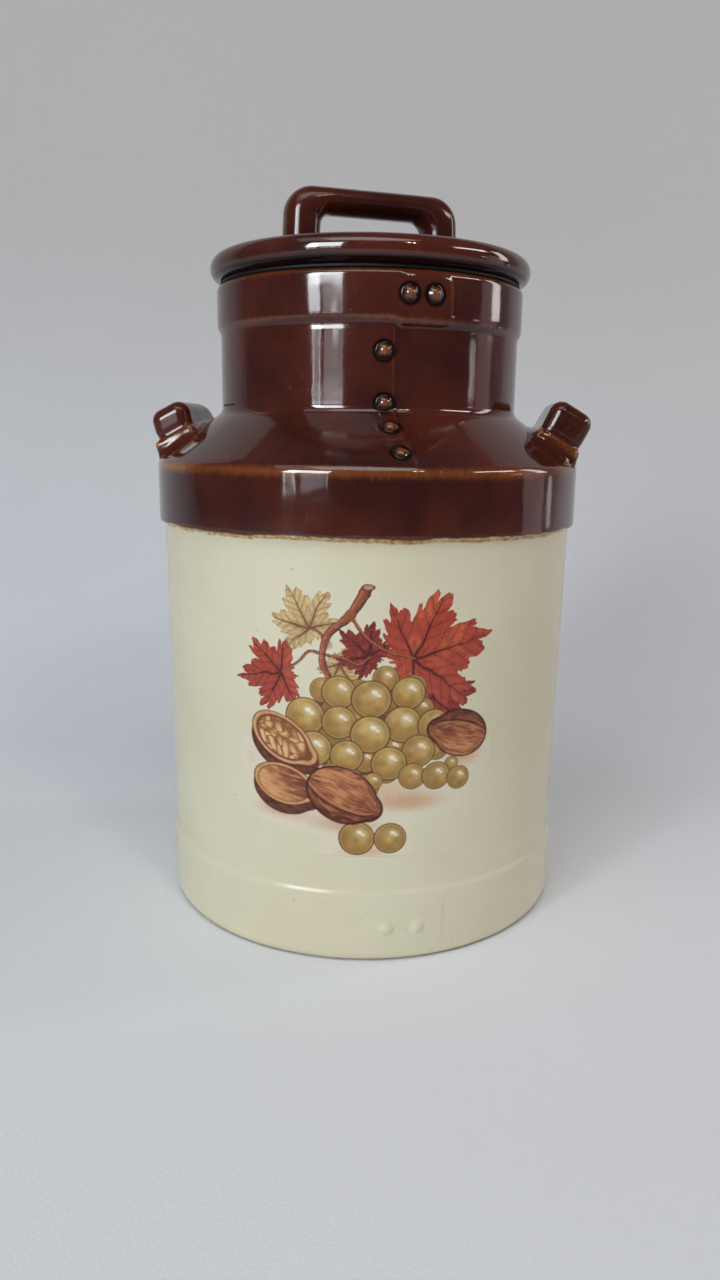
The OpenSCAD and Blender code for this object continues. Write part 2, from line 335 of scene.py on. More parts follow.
def jar_relief(points, degrees):
    """Extra height along the normal, thin-glaze and pooled-glaze amounts of the rivets and lapped edges."""
    r = np.hypot(points[..., 0], points[..., 1])
    z = points[..., 2]
    height = np.zeros_like(z)
    thin = np.zeros_like(z)
    pool_and_shade = np.zeros_like(z)

    def lap(edge, inside_mask, spread, step, soft, tint):
        """A sheet that thickens by step over spread degrees up to a lapped edge; tint breaks the glaze."""
        away = edge - degrees
        across = np.radians(away) * r
        body = smoothstep(-soft, soft, across) * (1 - smoothstep(spread * 0.1, spread, away)) * inside_mask
        height[...] += step * body
        thin[...] += tint * bell(across, 0.8, 0.8) * inside_mask
        pool_and_shade[...] += tint * bell(across, -0.9, 0.7) * inside_mask

    neck_top = JAR_H - NECK_BAND_H
    slope_top = SHOULDER_Z + SHOULDER_BAND_H + 2
    seam = SEAM_A + np.clip(shoulder_height(NECK_R) - z, 0, 20) * 0.15
    in_seam = smoothstep(slope_top, slope_top + 2, z) * (1 - smoothstep(neck_top - 3, neck_top, z))
    lap(seam, in_seam, 70, SEAM_LAP_T, 0.7, 0.32)
    in_band = smoothstep(neck_top - 2, neck_top + 1, z) * (1 - smoothstep(JAR_H - 3, JAR_H - 1, z))
    tab_round = 4 * smoothstep(JAR_H - 7, JAR_H, z) ** 2
    tab_round = tab_round + 3 * (1 - smoothstep(neck_top - 2, neck_top + 4, z)) ** 2
    lap(TAB_END_A - tab_round, in_band * smoothstep(SEAM_A, SEAM_A + 3, degrees), 60, BAND_LAP_T, 1.7, 0.5)
    in_foot = smoothstep(4, 9, z) * (1 - smoothstep(FOOT_BAND_H - 5, FOOT_BAND_H - 2, z))
    lap(FOOT_LAP_A, in_foot, 50, FOOT_LAP_T, 1.0, 0)

    edge_z = SHOULDER_Z + SHOULDER_BAND_H + 0.6
    thin += 0.76 * bell(z, edge_z, 2.2) * (r > NECK_R + 15)

    for angle, rivet_r, rivet_z, size in rivet_places():
        a = math.radians(angle - 90)
        centre = np.array([rivet_r * math.cos(a), rivet_r * math.sin(a), rivet_z])
        share = np.linalg.norm(points - centre, axis=2) / RIVET_R
        cap = RIVET_H * size * (1 - share**2)
        height += (cap + np.sqrt(cap**2 + RIVET_FOOT**2)) / 2 * (share < 4)
        thin += 0.8 * bell(share, 0, 0.75)
        pool_and_shade += 1.1 * bell(share, 1.15, 0.4)
    return height, np.clip(thin, 0, 1), np.clip(pool_and_shade, 0, 1)


def slow_waves(turn, z):
    """Slow unevenness of the wall from hand finishing, in millimetres; turn is in radians from the front."""
    return 0.04 * (np.sin(2 * turn + 0.9 + z * 0.012) + 0.6 * np.sin(3 * turn - 1.3 - z * 0.02))


def make_jar():
    """The fired jar: one closed turned shell with its moulded seam, and the glaze amounts on its points."""
    outside, inside = jar_profile()
    profile = np.vstack([outside, inside])
    degrees = front_angles(-4, 40, 0.32, 1.4)
    angles = np.radians(degrees - 90)
    points, normals = lathe_grid(profile, angles)
    wrapped = (degrees + 180) % 360 - 180
    spread = np.broadcast_to(wrapped[None], points.shape[:2])
    height, thin, pool_and_shade = jar_relief(points, spread)
    outer_rows = np.arange(len(profile)) < len(outside)
    is_outside = outer_rows[:, None]
    height = height * is_outside

    # The neck band's lower edge drops a little where its end laps over
    drop = 1.0 * smoothstep(SEAM_A - 1, SEAM_A + 1.5, spread) * (1 - smoothstep(70, 150, spread))
    near_step = bell(points[..., 2], JAR_H - NECK_BAND_H, 2.6) * is_outside
    points[..., 2] -= drop * near_step

    z = points[..., 2]
    height = height + slow_waves(np.radians(spread), z) * smoothstep(6, 20, z) * is_outside
    points = points + normals * height[..., None]

    profile_thin, profile_pool = glaze_amounts(profile_bend(profile))
    profile_thin = profile_thin * (1 - 0.45 * smoothstep(JAR_H - 3, JAR_H - 2, profile[:, 1]))
    step_z = JAR_H - NECK_BAND_H + 1.0
    profile_thin += 0.42 * bell(profile[:, 1], step_z, 1.3) * outer_rows
    rows, columns = points.shape[:2]
    obj = build_mesh("jar", points.reshape(-1, 3), lathe_faces(rows, columns, False))
    thin = np.maximum(thin, profile_thin[:, None])
    pool_and_shade = np.maximum(pool_and_shade * (1 - thin * 0.5), profile_pool[:, None])
    base_z = profile[:, 1][:, None]
    above = np.where(is_outside, base_z - GLAZE_LINE_Z, base_z - INSIDE_LINE_Z)
    bare = is_outside * (base_z < 1.1) * np.ones_like(thin)
    put_attribute(obj, "thin", np.clip(thin, 0, 1).ravel())
    put_attribute(obj, "pool_and_shade", np.clip(pool_and_shade, 0, 1).ravel())
    put_attribute(obj, "above", (above * np.ones_like(thin)).ravel())
    put_attribute(obj, "bare", bare.ravel())
    return weld(obj)


def make_turned(name, profile, columns=300, closed=False, shaded_below=-1.0):
    """A plain turned piece, with glaze amounts from its own edges. Below the given height it is painted as
    pooled glaze, near black and less shiny: a painted shade under the lid's rim.
    """
    angles = np.linspace(0, 2 * math.pi, columns, endpoint=False)
    points, _ = lathe_grid(profile, angles)
    rows = len(profile)
    obj = build_mesh(name, points.reshape(-1, 3), lathe_faces(rows, columns, closed))
    thin, pool_and_shade = glaze_amounts(profile_bend(profile))
    # Painted shade: below that height the glaze is drawn as pooled, near black and less shiny, for the shade
    # under the rim.
    under = 1 - smoothstep(shaded_below - 1, shaded_below + 1, profile[:, 1])
    thin, pool_and_shade = thin * (1 - under), np.maximum(pool_and_shade, under)
    put_attribute(obj, "thin", np.repeat(thin, columns))
    put_attribute(obj, "pool_and_shade", np.repeat(pool_and_shade, columns))
    return weld(obj)


# ---- Shapes given by a distance function, for the pieces that blend into their neighbours ----


def rounded_box(p, half, r):
    """Distance to a box with rounded edges, for points p."""
    q = np.abs(p) - (np.array(half) - r)
    outer = np.linalg.norm(np.maximum(q, 0), axis=-1)
    return outer + np.minimum(q.max(-1), 0) - r


def smooth_union(a, b, k):
    """The nearer of two distances, with a fillet about k wide where they meet."""
    h = np.clip(0.5 + 0.5 * (b - a) / k, 0, 1)
    return b + (a - b) * h - k * h * (1 - h)


def cone_distance(p):
    """Distance to the jar's shoulder: its slope and the upright face of its band."""
    r = np.hypot(p[..., 0], p[..., 1])
    z = p[..., 2]
    slope = (z - shoulder_height(r)) * math.cos(SLOPE)
    face = r - SHOULDER_R
    inset = SHOULDER_EDGE_R
    a, b = slope + inset, face + inset
    rounded = np.sqrt(np.maximum(a, 0) ** 2 + np.maximum(b, 0) ** 2) - inset
    return np.where((a > 0) & (b > 0), rounded, np.maximum(slope, face))


def cells_beside(at, b, c, db, dc):
    """The grid cells on one side of the crossed edges at; b and c are the axes across the edges."""
    cell = at.copy()
    cell[:, b] -= db
    cell[:, c] -= dc
    return cell


def iso_mesh(name, distance, low, high, step, thin_range, tint=None):
    """The zero surface of a distance function, in quads. The glaze thins where it bends by thin_range."""
    axes = [np.arange(a, b + step, step) for a, b in zip(low, high)]
    grid = np.stack(np.meshgrid(*axes, indexing="ij"), axis=-1)
    value = distance(grid)
    cells = tuple(n - 1 for n in value.shape)
    total = np.zeros(cells + (3,))
    count = np.zeros(cells)
    crossings = []
    for axis in range(3):
        near = [slice(None)] * 3
        far = [slice(None)] * 3
        near[axis], far[axis] = slice(0, -1), slice(1, None)
        v0, v1 = value[tuple(near)], value[tuple(far)]
        at = np.argwhere((v0 < 0) != (v1 < 0))
        share = v0[tuple(at.T)] / (v0[tuple(at.T)] - v1[tuple(at.T)])
        point = np.stack([axes[d][at[:, d]] for d in range(3)], axis=1)
        point[:, axis] += share * step
        b, c = [d for d in range(3) if d != axis]
        for db, dc in ((0, 0), (0, 1), (1, 0), (1, 1)):
            cell = cells_beside(at, b, c, db, dc)
            ok = ((cell >= 0) & (cell < np.array(cells))).all(1)
            np.add.at(total, tuple(cell[ok].T), point[ok])
            np.add.at(count, tuple(cell[ok].T), 1)
        crossings.append((axis, b, c, at, v0[tuple(at.T)] < 0))
    used = count > 0
    index = np.full(cells, -1)
    index[used] = np.arange(used.sum())
    verts = total[used] / count[used][:, None]
    faces = []
    for axis, b, c, at, inside_first in crossings:
        corners = []
        for db, dc in ((1, 1), (0, 1), (0, 0), (1, 0)):
            cell = cells_beside(at, b, c, db, dc)
            corners.append(index[tuple(np.clip(cell, 0, np.array(cells) - 1).T)])
        quad = np.stack(corners, axis=1)
        flip = inside_first if axis != 1 else ~inside_first
        quad[~flip] = quad[~flip][:, ::-1]
        faces += quad[(quad >= 0).all(1)].tolist()

    def gradient(p, h=0.05):
        parts = []
        for d in range(3):
            shift = np.zeros(3)
            shift[d] = h
            parts.append((distance(p + shift) - distance(p - shift)) / (2 * h))
        return np.stack(parts, axis=-1)

    for _ in range(4):
        g = gradient(verts)
        move = distance(verts)[:, None] * g / ((g**2).sum(1)[:, None] + 1e-6)
        verts = verts - np.clip(move, -step, step)
    g = gradient(verts)
    normal = g / (np.linalg.norm(g, axis=1)[:, None] + 1e-9)
    obj = build_mesh(name, verts, faces)
    reach = 1.1
    bend = -6 * distance(verts)
    for d in range(3):
        shift = np.zeros(3)
        shift[d] = reach
        bend = bend + distance(verts + shift) + distance(verts - shift)
    bend /= reach**2
    thin = smoothstep(*thin_range, bend) + (tint(verts) if tint else 0)
    put_attribute(obj, "thin", np.clip(thin, 0, 1))
    put_attribute(obj, "pool_and_shade", smoothstep(0.2, 0.8, -bend))
    obj.data.normals_split_custom_set_from_vertices(normal.tolist())
    return obj


# ---- Ears ----


def outline_distance(x, z, corners):
    """Distance to a four-cornered outline in the x-z plane."""
    best = np.full(x.shape, 1e3)
    deepest = np.full(x.shape, -1e3)
    for (x0, z0), (x1, z1) in zip(corners, corners[1:] + corners[:1]):
        span = np.array([x1 - x0, z1 - z0])
        length = np.hypot(*span)
        t = np.clip(((x - x0) * span[0] + (z - z0) * span[1]) / length**2, 0, 1)
        best = np.minimum(best, np.hypot(x - x0 - t * span[0], z - z0 - t * span[1]))
        deepest = np.maximum(deepest, ((x - x0) * span[1] - (z - z0) * span[0]) / length)
    return np.where(deepest < 0, -best, best)


def bar_distance(p, corners, length, r):
    """Distance to a bar along y with that cross-section, with every edge rounded to r."""
    across = outline_distance(p[..., 0], p[..., 2], inset_corners(corners, r))
    along = np.abs(p[..., 1]) - length / 2 + r
    outside = np.hypot(np.maximum(across, 0), np.maximum(along, 0))
    return np.minimum(np.maximum(across, along), 0) + outside - r


def inset_corners(corners, inset):
    """The outline with every side moved inwards by inset."""
    moved = []
    for k, here in enumerate(corners):
        before, after = corners[k - 1], corners[(k + 1) % len(corners)]
        sides = ((before, here), (here, after))
        into, out = [np.array([b[0] - a[0], b[1] - a[1]]) / math.dist(a, b) for a, b in sides]
        turn = into[0] * out[1] - into[1] * out[0]
        moved.append(tuple(np.array(here) + (out - into) * inset / turn))
    return tuple(moved)


def ear_shape(side, corners, base_tint):
    """Distance and tint functions of an ear with its fillet, on the +X (side 1) or -X (side -1) side."""
    inner_foot, outer_foot, outer_top, inner_top = [np.array(c) for c in corners]
    lean = (outer_top - outer_foot + inner_top - inner_foot) / 2
    lean /= np.linalg.norm(lean)
    foot = (outer_foot - inner_foot) / np.linalg.norm(outer_foot - inner_foot)
    flare, rise = foot * EAR_FLARE, lean * EAR_BEAD
    inner, outer = inner_foot - flare, outer_foot + flare
    bead = (inner - rise, outer - rise, outer + rise, inner + rise)
    down = np.array([-0.12, -1.0])
    slip_foot = outer_foot + foot * 0.2
    slip = (inner_foot + down * 6, slip_foot + down * 6, slip_foot, inner_foot)

    def distance(p):
        q = p * np.array([side, 1, 1])
        block = bar_distance(q, corners, EAR_L, EAR_EDGE_R)
        far_top = (q[..., 1] - EAR_L / 2 + 4) * 0.6 + (q[..., 2] - corners[2][1] - 2) * 0.8
        block = -smooth_union(-block, -far_top, 4)
        roll = bar_distance(q, bead, BEAD_L, BEAD_R)
        body = bar_distance(q, slip, EAR_L - 0.6, 2.5)
        ear = smooth_union(smooth_union(block, roll, 2.6), body, 2.6)
        shoulder = cone_distance(q)
        joined_up = smooth_union(ear, shoulder + 0.12, 5.0)
        return np.maximum(np.maximum(joined_up, ear - 5.4), -(shoulder + 2))

    def tint(p):
        """The glaze breaks amber on the rolled edge."""
        q = p * np.array([side, 1, 1])
        return base_tint + 0.28 * (1 - smoothstep(0.1, 1.0, np.abs(bar_distance(q, bead, BEAD_L, BEAD_R))))

    return distance, tint


def make_ear(name, side, corners, base_tint):
    near, far = corners[0][0] - 9, SHOULDER_R + 7
    low = [min(near * side, far * side), -EAR_L / 2 - 8, corners[1][1] - 18]
    high = [max(near * side, far * side), EAR_L / 2 + 8, corners[3][1] + 3]
    distance, tint = ear_shape(side, corners, base_tint)
    return iso_mesh(name, distance, low, high, 0.5, (0.3, 0.95), tint)


# ---- Lid ----


def lid_profile():
    """The lid's outline from the middle of its top, over the rolled rim, and round the locating ring."""
    rim_x = LID_R - 5
    seat_z = SEAL_HIGH[2] + 0.05
    plug_r = SEAL_LOW_R - 0.05
    plug_in_r = plug_r - 5
    panel_r = rim_x - 6
    plug_z = PLATE_LOW[2]
    top_down = joined(
        (4, [(0, PANEL_Z + 1.2)]),
        (3, [(panel_r / 2, PANEL_Z + 0.9)]),
        (2, [(panel_r - 1.5, PANEL_Z + 0.1)]),
        (0.4, arc(panel_r, PANEL_Z + 1.6, 1.6, 250, 300)),
        (0.5, arc(rim_x, LID_TOP - 5, 5, 125, 0)),
        (0.4, arc(LID_R - 4.4, seat_z + 4.4, 4.4, 0, -90)),
        (1.5, [(plug_r + 0.4, seat_z)]),
        (0.5, [(plug_r, seat_z - 0.4)]),
        (1.5, arc(plug_r - 1.5, plug_z + 1.5, 1.5, 0, -90)),
        (1, arc(plug_in_r + 1.5, plug_z + 1.5, 1.5, -90, -180)),
        (1.5, [(plug_in_r, seat_z - 2)]),
        (1, [(plug_in_r - 3, seat_z + 0.8)]),
        (4, [(0, seat_z + 1.6)]),
    )
    return top_down[::-1]


def handle_distance(p):
    """Distance to the loop handle, blended into the lid's panel."""
    c, s = math.cos(HANDLE_TURN), math.sin(HANDLE_TURN)
    x = np.abs(p[..., 0] * c + p[..., 1] * s)
    y = np.abs(-p[..., 0] * s + p[..., 1] * c)
    z = p[..., 2]
    top = HANDLE_HIGH[2]
    foot = LID_TOP - 12
    x = x - HANDLE_TAPER * np.clip(top - z, 0, 30)

    def upright_box(half_w, box_top, r):
        """Distance to a rounded box that stands on the handle's foot, in the x-z plane."""
        flat = np.stack([x, z - (box_top + foot) / 2], axis=-1)
        return rounded_box(flat, (half_w, (box_top - foot) / 2), r)

    outer = upright_box(HANDLE_HALF, top, HANDLE_OUTER_R)
    inner = upright_box(HANDLE_HALF - HANDLE_POST_T, top - HANDLE_T, HANDLE_INNER_R)
    half_t = np.clip((inner - outer) / 2, HANDLE_T / 4, HANDLE_T)
    loop = np.clip(np.abs(outer + inner) / (2 * half_t), 0, 9)
    oval = (loop**HANDLE_OVAL + (y / (HANDLE_B / 2)) ** HANDLE_OVAL) ** (1 / HANDLE_OVAL)
    bar = (oval - 1) * half_t
    panel = z - (PANEL_Z + 0.6)
    joined_up = smooth_union(bar, panel + 0.06, 3.0)
    return np.maximum(np.maximum(joined_up, bar - 4), -(panel + 3))


def make_handle():
    reach = HANDLE_HALF + 7
    low = [-reach, -reach * 0.8, LID_TOP - 8]
    high = [reach, reach * 0.8, HANDLE_HIGH[2] + 2]
    return iso_mesh("handle", handle_distance, low, high, 0.6, (0.35, 1.4))


# ---- Seal ----


def seal_profile():
    """The seal's closed outline: a flat ring under the lid, and a collar with one lip in the neck."""
    top = SEAL_HIGH[2]
    bottom = SEAL_LOW[2]
    under = JAR_H + 0.05
    collar = BORE_R - 0.6
    lip = [(collar - 0.6, bottom), (collar, bottom + 1), (BORE_R - 0.2, bottom + 2), (collar, bottom + 3)]
    return joined(
        (1, [(SEAL_LOW_R, bottom)]),
        (0.5, lip),
        (1, [(collar, under)]),
        (1.5, arc(SEAL_R - 0.5, under + 0.5, 0.5, -90, 0, 0.15)),
        (0.3, arc(SEAL_R - 0.5, top - 0.5, 0.5, 0, 90, 0.15)),
        (1.5, [(SEAL_LOW_R, top)]),
        (2, [(SEAL_LOW_R, (top + bottom) / 2)]),
    )


# ---- Materials ----

GLASS_IOR = 1.52


class Shader:
    """A node material built up in code. A one-sided surface is clear when seen from its back."""

    def __init__(self, name, one_sided=False):
        self.one_sided = one_sided
        self.material = bpy.data.materials.new(name)
        self.material.use_nodes = True
        self.tree = self.material.node_tree
        self.tree.nodes.clear()

    def add(self, kind, inputs=(), **settings):
        """Adds a node; inputs maps its sockets to values or to other nodes' outputs."""
        new = self.tree.nodes.new("ShaderNode" + kind)
        for key, value in settings.items():
            setattr(new, key, value)
        for key, value in dict(inputs).items():
            if isinstance(value, bpy.types.NodeSocket):
                self.tree.links.new(value, new.inputs[key])
            else:
                new.inputs[key].default_value = value
        return new

    def math(self, operation, a, b):
        return self.add("Math", {0: a, 1: b}, operation=operation).outputs[0]

    def attribute(self, name):
        return self.add("Attribute", attribute_name=name).outputs["Fac"]

    def noise(self, scale, detail=3.0, rough=0.55, vector=None):
        inputs = {"Scale": scale, "Detail": detail, "Roughness": rough}
        inputs["Vector"] = vector or self.place()
        return self.add("TexNoise", inputs).outputs["Fac"]

    def place(self, stretch=(1, 1, 1)):
        """The point in the object's own frame, in metres, stretched along each axis."""
        point = self.add("TexCoord").outputs["Object"]
        return self.add("Mapping", {"Vector": point, "Scale": stretch}).outputs[0]

    def ramp(self, value, low, high, low_to=0.0, high_to=1.0):
        """value taken smoothly from low..high to low_to..high_to."""
        inputs = {"Value": value, "From Min": low, "From Max": high, "To Min": low_to, "To Max": high_to}
        return self.add("MapRange", inputs, interpolation_type="SMOOTHSTEP").outputs["Result"]

    def mix(self, share, a, b, blend="MIX"):
        new = self.tree.nodes.new("ShaderNodeMix")
        new.data_type = "RGBA"
        new.blend_type = blend
        for key, value in {"Factor": share, "A": a, "B": b}.items():
            kind = "VALUE" if key == "Factor" else "RGBA"
            socket = [s for s in new.inputs if s.name == key and s.type == kind][0]
            if isinstance(value, bpy.types.NodeSocket):
                self.tree.links.new(value, socket)
            else:
                socket.default_value = value
        return [s for s in new.outputs if s.type == "RGBA"][0]

    def finish(self, colour, roughness, bump=None, **extra):
        """The surface itself, and the material's output."""
        inputs = {"Base Color": colour, "Roughness": roughness, "IOR": GLASS_IOR}
        inputs.update(extra)
        if bump is not None:
            inputs["Normal"] = bump
        surface = self.add("BsdfPrincipled", inputs).outputs[0]
        if self.one_sided:
            behind = self.add("NewGeometry").outputs["Backfacing"]
            clear = self.add("BsdfTransparent").outputs[0]
            surface = self.add("MixShader", {0: behind, 1: surface, 2: clear}).outputs[0]
        self.add("OutputMaterial", {"Surface": surface})
        return self.material

    def bump(self, height, distance, normal=None):
        inputs = {"Height": height, "Distance": distance, "Strength": 1.0}
        if normal is not None:
            inputs["Normal"] = normal
        return self.add("Bump", inputs).outputs[0]


def srgb(red, green, blue):
    """A linear colour from 0-255 display values."""
    def to_linear(v):
        v /= 255
        return v / 12.92 if v <= 0.04045 else ((v + 0.055) / 1.055) ** 2.4

    return (to_linear(red), to_linear(green), to_linear(blue), 1.0)


def brown_glaze_colour(shader, thin, pool_and_shade, run=1.0):
    """Dark brown glaze, amber where thin and near black where pooled or painted in shade; a small run makes
    streaks longer.
    """
    cloud = shader.noise(28, 4)
    streak = shader.noise(800, 3, 0.6, shader.place((1, 1, run)))
    fleck = shader.noise(900, 2, 0.5)
    body = shader.mix(shader.ramp(cloud, 0.35, 0.68), srgb(57, 24, 19), srgb(86, 37, 26))
    body = shader.mix(shader.ramp(fleck, 0.6, 0.8, 0, 0.22), body, srgb(110, 58, 30))
    uneven = shader.ramp(shader.noise(22, 2), 0.35, 0.65, 0.6, 1.0)
    broken = shader.math("MULTIPLY", thin, uneven)
    broken = shader.math("ADD", broken, shader.ramp(streak, 0.3, 0.7, -0.08, 0.06))
    body = shader.mix(shader.ramp(broken, 0.1, 0.6, 0, 0.85), body, srgb(128, 70, 32))
    body = shader.mix(shader.ramp(broken, 0.5, 1.05, 0, 0.8), body, srgb(182, 124, 60))
    return shader.mix(shader.ramp(pool_and_shade, 0.15, 0.85, 0, 0.9), body, srgb(20, 9, 8))


def glaze_bump(shader):
    """The faint waviness of a poured glaze, with fine pinholes."""
    wave = shader.noise(75, 2, 0.4)
    soft = shader.bump(wave, 0.00012)
    pit = shader.ramp(shader.noise(1400, 1), 0.22, 0.3)
    return shader.bump(pit, 0.000012, soft)


def brown_glaze(name, haze=0.0, shine=1.0):
    """The brown glaze of the lid, handle and ears: haze adds roughness and shine scales reflections."""
    shader = Shader(name)
    colour = brown_glaze_colour(shader, shader.attribute("thin"), shader.attribute("pool_and_shade"))
    rough = shader.ramp(shader.noise(60, 3), 0.3, 0.7, 0.05 + haze, 0.11 + haze)
    specular = shader.math("MULTIPLY", pooled_shine(shader), shine)
    return shader.finish(colour, rough, glaze_bump(shader), **{"Specular IOR Level": specular})


def pooled_shine(shader):
    """Hollows where the glaze pools lie in shade and shine less."""
    return shader.ramp(shader.attribute("pool_and_shade"), 0.3, 1.0, 0.5, 0.14)


def cream_glaze_colour(shader):
    """Cream glaze: soft clouds, slightly warmer where it lies thick, with a few fine iron specks."""
    cloud = shader.noise(16, 4)
    colour = shader.mix(shader.ramp(cloud, 0.3, 0.7), srgb(228, 222, 192), srgb(233, 229, 201))
    speck = shader.ramp(shader.noise(700, 1, 0.4), 0.76, 0.8, 0, 0.45)
    return shader.mix(speck, colour, srgb(170, 140, 100))


def jar_glaze():
    """Cream wall, brown top, the ragged ochre line between them, and the bare foot ring."""
    shader = Shader("jar_glaze")
    brown = brown_glaze_colour(shader, shader.attribute("thin"), shader.attribute("pool_and_shade"), 0.25)
    cream = cream_glaze_colour(shader)
    slow = shader.ramp(shader.noise(70, 2, 0.5, shader.place((1, 1, 0.2))), 0.3, 0.7, -0.4, 0.4)
    fine = shader.ramp(shader.noise(420, 2, 0.5), 0.3, 0.7, -0.14, 0.14)
    above = shader.math("ADD", shader.attribute("above"), shader.math("ADD", slow, fine))
    ochre = shader.mix(shader.ramp(shader.noise(500, 2), 0.35, 0.65), srgb(186, 142, 84), srgb(222, 196, 150))
    colour = shader.mix(shader.ramp(above, -1.6, -0.7), cream, ochre)
    colour = shader.mix(shader.ramp(above, -0.1, 0.6), colour, brown)
    rim_line = shader.math("MULTIPLY", shader.ramp(above, 0.2, 0.7), shader.ramp(above, 0.9, 1.8, 1, 0))
    colour = shader.mix(shader.math("MULTIPLY", rim_line, 0.7), colour, srgb(30, 13, 10))
    bare = shader.attribute("bare")
    clay = shader.mix(shader.ramp(shader.noise(420, 3), 0.35, 0.65), srgb(196, 178, 150), srgb(216, 201, 176))
    colour = shader.mix(bare, colour, clay)
    gloss = shader.ramp(shader.noise(60, 3), 0.3, 0.7, 0.06, 0.11)
    gloss = shader.math("ADD", gloss, shader.ramp(above, -0.2, 0.4, 0.12, 0))
    shine = shader.math("MULTIPLY", pooled_shine(shader), shader.ramp(above, -0.2, 0.4, 0.4, 1))
    rough = shader.math("MAXIMUM", gloss, shader.math("MULTIPLY", bare, 0.85))
    return shader.finish(colour, rough, glaze_bump(shader), **{"Specular IOR Level": shine})


def fired_transfer():
    """The fired-on picture: painted colours under the same gloss, fading into the cream at its edges."""
    shader = Shader("fired_transfer")
    paint = shader.add("Attribute", attribute_name="paint")
    cream = cream_glaze_colour(shader)
    grain = shader.ramp(shader.noise(1500, 2), 0.3, 0.7, 0.93, 1.05)
    toned = shader.mix(1.0, paint.outputs["Color"], grain, "MULTIPLY")
    colour = shader.mix(paint.outputs["Alpha"], cream, toned)
    rough = shader.ramp(shader.noise(60, 3), 0.3, 0.7, 0.2, 0.25)
    return shader.finish(colour, rough, glaze_bump(shader), **{"Specular IOR Level": 0.3})


def seal_rubber():
    shader = Shader("seal_rubber")
    dust = shader.ramp(shader.noise(240, 4), 0.4, 0.75, 0, 0.5)
    colour = shader.mix(dust, srgb(7, 7, 8), srgb(18, 17, 17))
    rough = shader.ramp(shader.noise(150, 2), 0.3, 0.7, 0.5, 0.7)
    pores = shader.bump(shader.noise(900, 2), 0.00003)
    return shader.finish(colour, rough, pores, **{"Specular IOR Level": 0.25})


def backdrop_cloth():
    shader = Shader("backdrop_cloth", one_sided=True)
    cloud = shader.noise(2.5, 3)
    floor = shader.mix(shader.ramp(cloud, 0.3, 0.7), srgb(230, 236, 242), srgb(236, 242, 249))
    height = shader.add("SeparateXYZ", {"Vector": shader.place()}).outputs["Z"]
    # Painted shade: the sweep turns darker grey up the wall, which gets less light than the floor.
    colour = shader.mix(shader.ramp(height, 0.02, 0.4, 0, 1), floor, srgb(212, 211, 211))
    return shader.finish(colour, 0.9, shader.bump(shader.noise(900, 2), 0.0002))


# ---- The picture: a bunch of grapes with vine leaves and walnuts, painted on a fine grid ----


class Canvas:
    """Paint on a flat grid in millimetres: u to the right, v up, from the middle of the picture."""

    def __init__(self, half_w, half_h, pitch):
        self.u, self.v = np.meshgrid(
            np.arange(-half_w, half_w + pitch, pitch), np.arange(-half_h, half_h + pitch, pitch)
        )
        self.colour = np.ones(self.u.shape + (3,))
        self.cover = np.zeros(self.u.shape)
        self.pitch = pitch

    def lay(self, mask, colour):
        """Lays colour over what is there, as thickly as mask says."""
        mask = np.clip(mask, 0, 1)
        self.colour = self.colour * (1 - mask[..., None]) + np.asarray(colour) * mask[..., None]
        self.cover = 1 - (1 - self.cover) * (1 - mask)

    def edge(self, distance, soft=0.25):
        """1 inside a shape and 0 outside, with a soft edge."""
        return 1 - smoothstep(-soft, soft, distance)


def grain(u, v, size, seed):
    """Smooth random values from 0 to 1, with lumps about size across."""
    lattice = np.random.default_rng(seed).random((67, 67))
    x, y = u / size + 1000.0, v / size + 1000.0
    i, j = np.floor(x).astype(int), np.floor(y).astype(int)
    fx, fy = x - i, y - j
    fx, fy = fx * fx * (3 - 2 * fx), fy * fy * (3 - 2 * fy)

    def at(a, b):
        return lattice[(i + a) % 67, (j + b) % 67]

    low = at(0, 0) * (1 - fx) + at(1, 0) * fx
    high = at(0, 1) * (1 - fx) + at(1, 1) * fx
    return low * (1 - fy) + high * fy


def blend(share, first, second):
    """Colour grid that goes from first to second as share goes from 0 to 1."""
    share = np.clip(share, 0, 1)[..., None]
    return np.asarray(first) * (1 - share) + np.asarray(second) * share


def rgb(red, green, blue):
    """A display colour as three numbers from 0 to 1."""
    return np.array([red, green, blue]) / 255


def tinge(base, share, colour):
    """base moved towards colour by share."""
    return base + np.clip(share, 0, 1)[..., None] * (colour - base)


def turned(u, v, u0, v0, degrees):
    """u and v as seen from a shape at (u0, v0) turned by degrees."""
    a = math.radians(degrees)
    x, y = u - u0, v - v0
    return x * math.cos(a) + y * math.sin(a), -x * math.sin(a) + y * math.cos(a)


def paint_shadow(canvas, u0, v0, half_u, half_v, strength):
    """The soft warm shadow under a fruit."""
    x, y = (canvas.u - u0) / half_u, (canvas.v - v0) / half_v
    canvas.lay(strength * np.exp(-1.6 * (x**2 + y**2) ** 1.2), rgb(214, 168, 130))


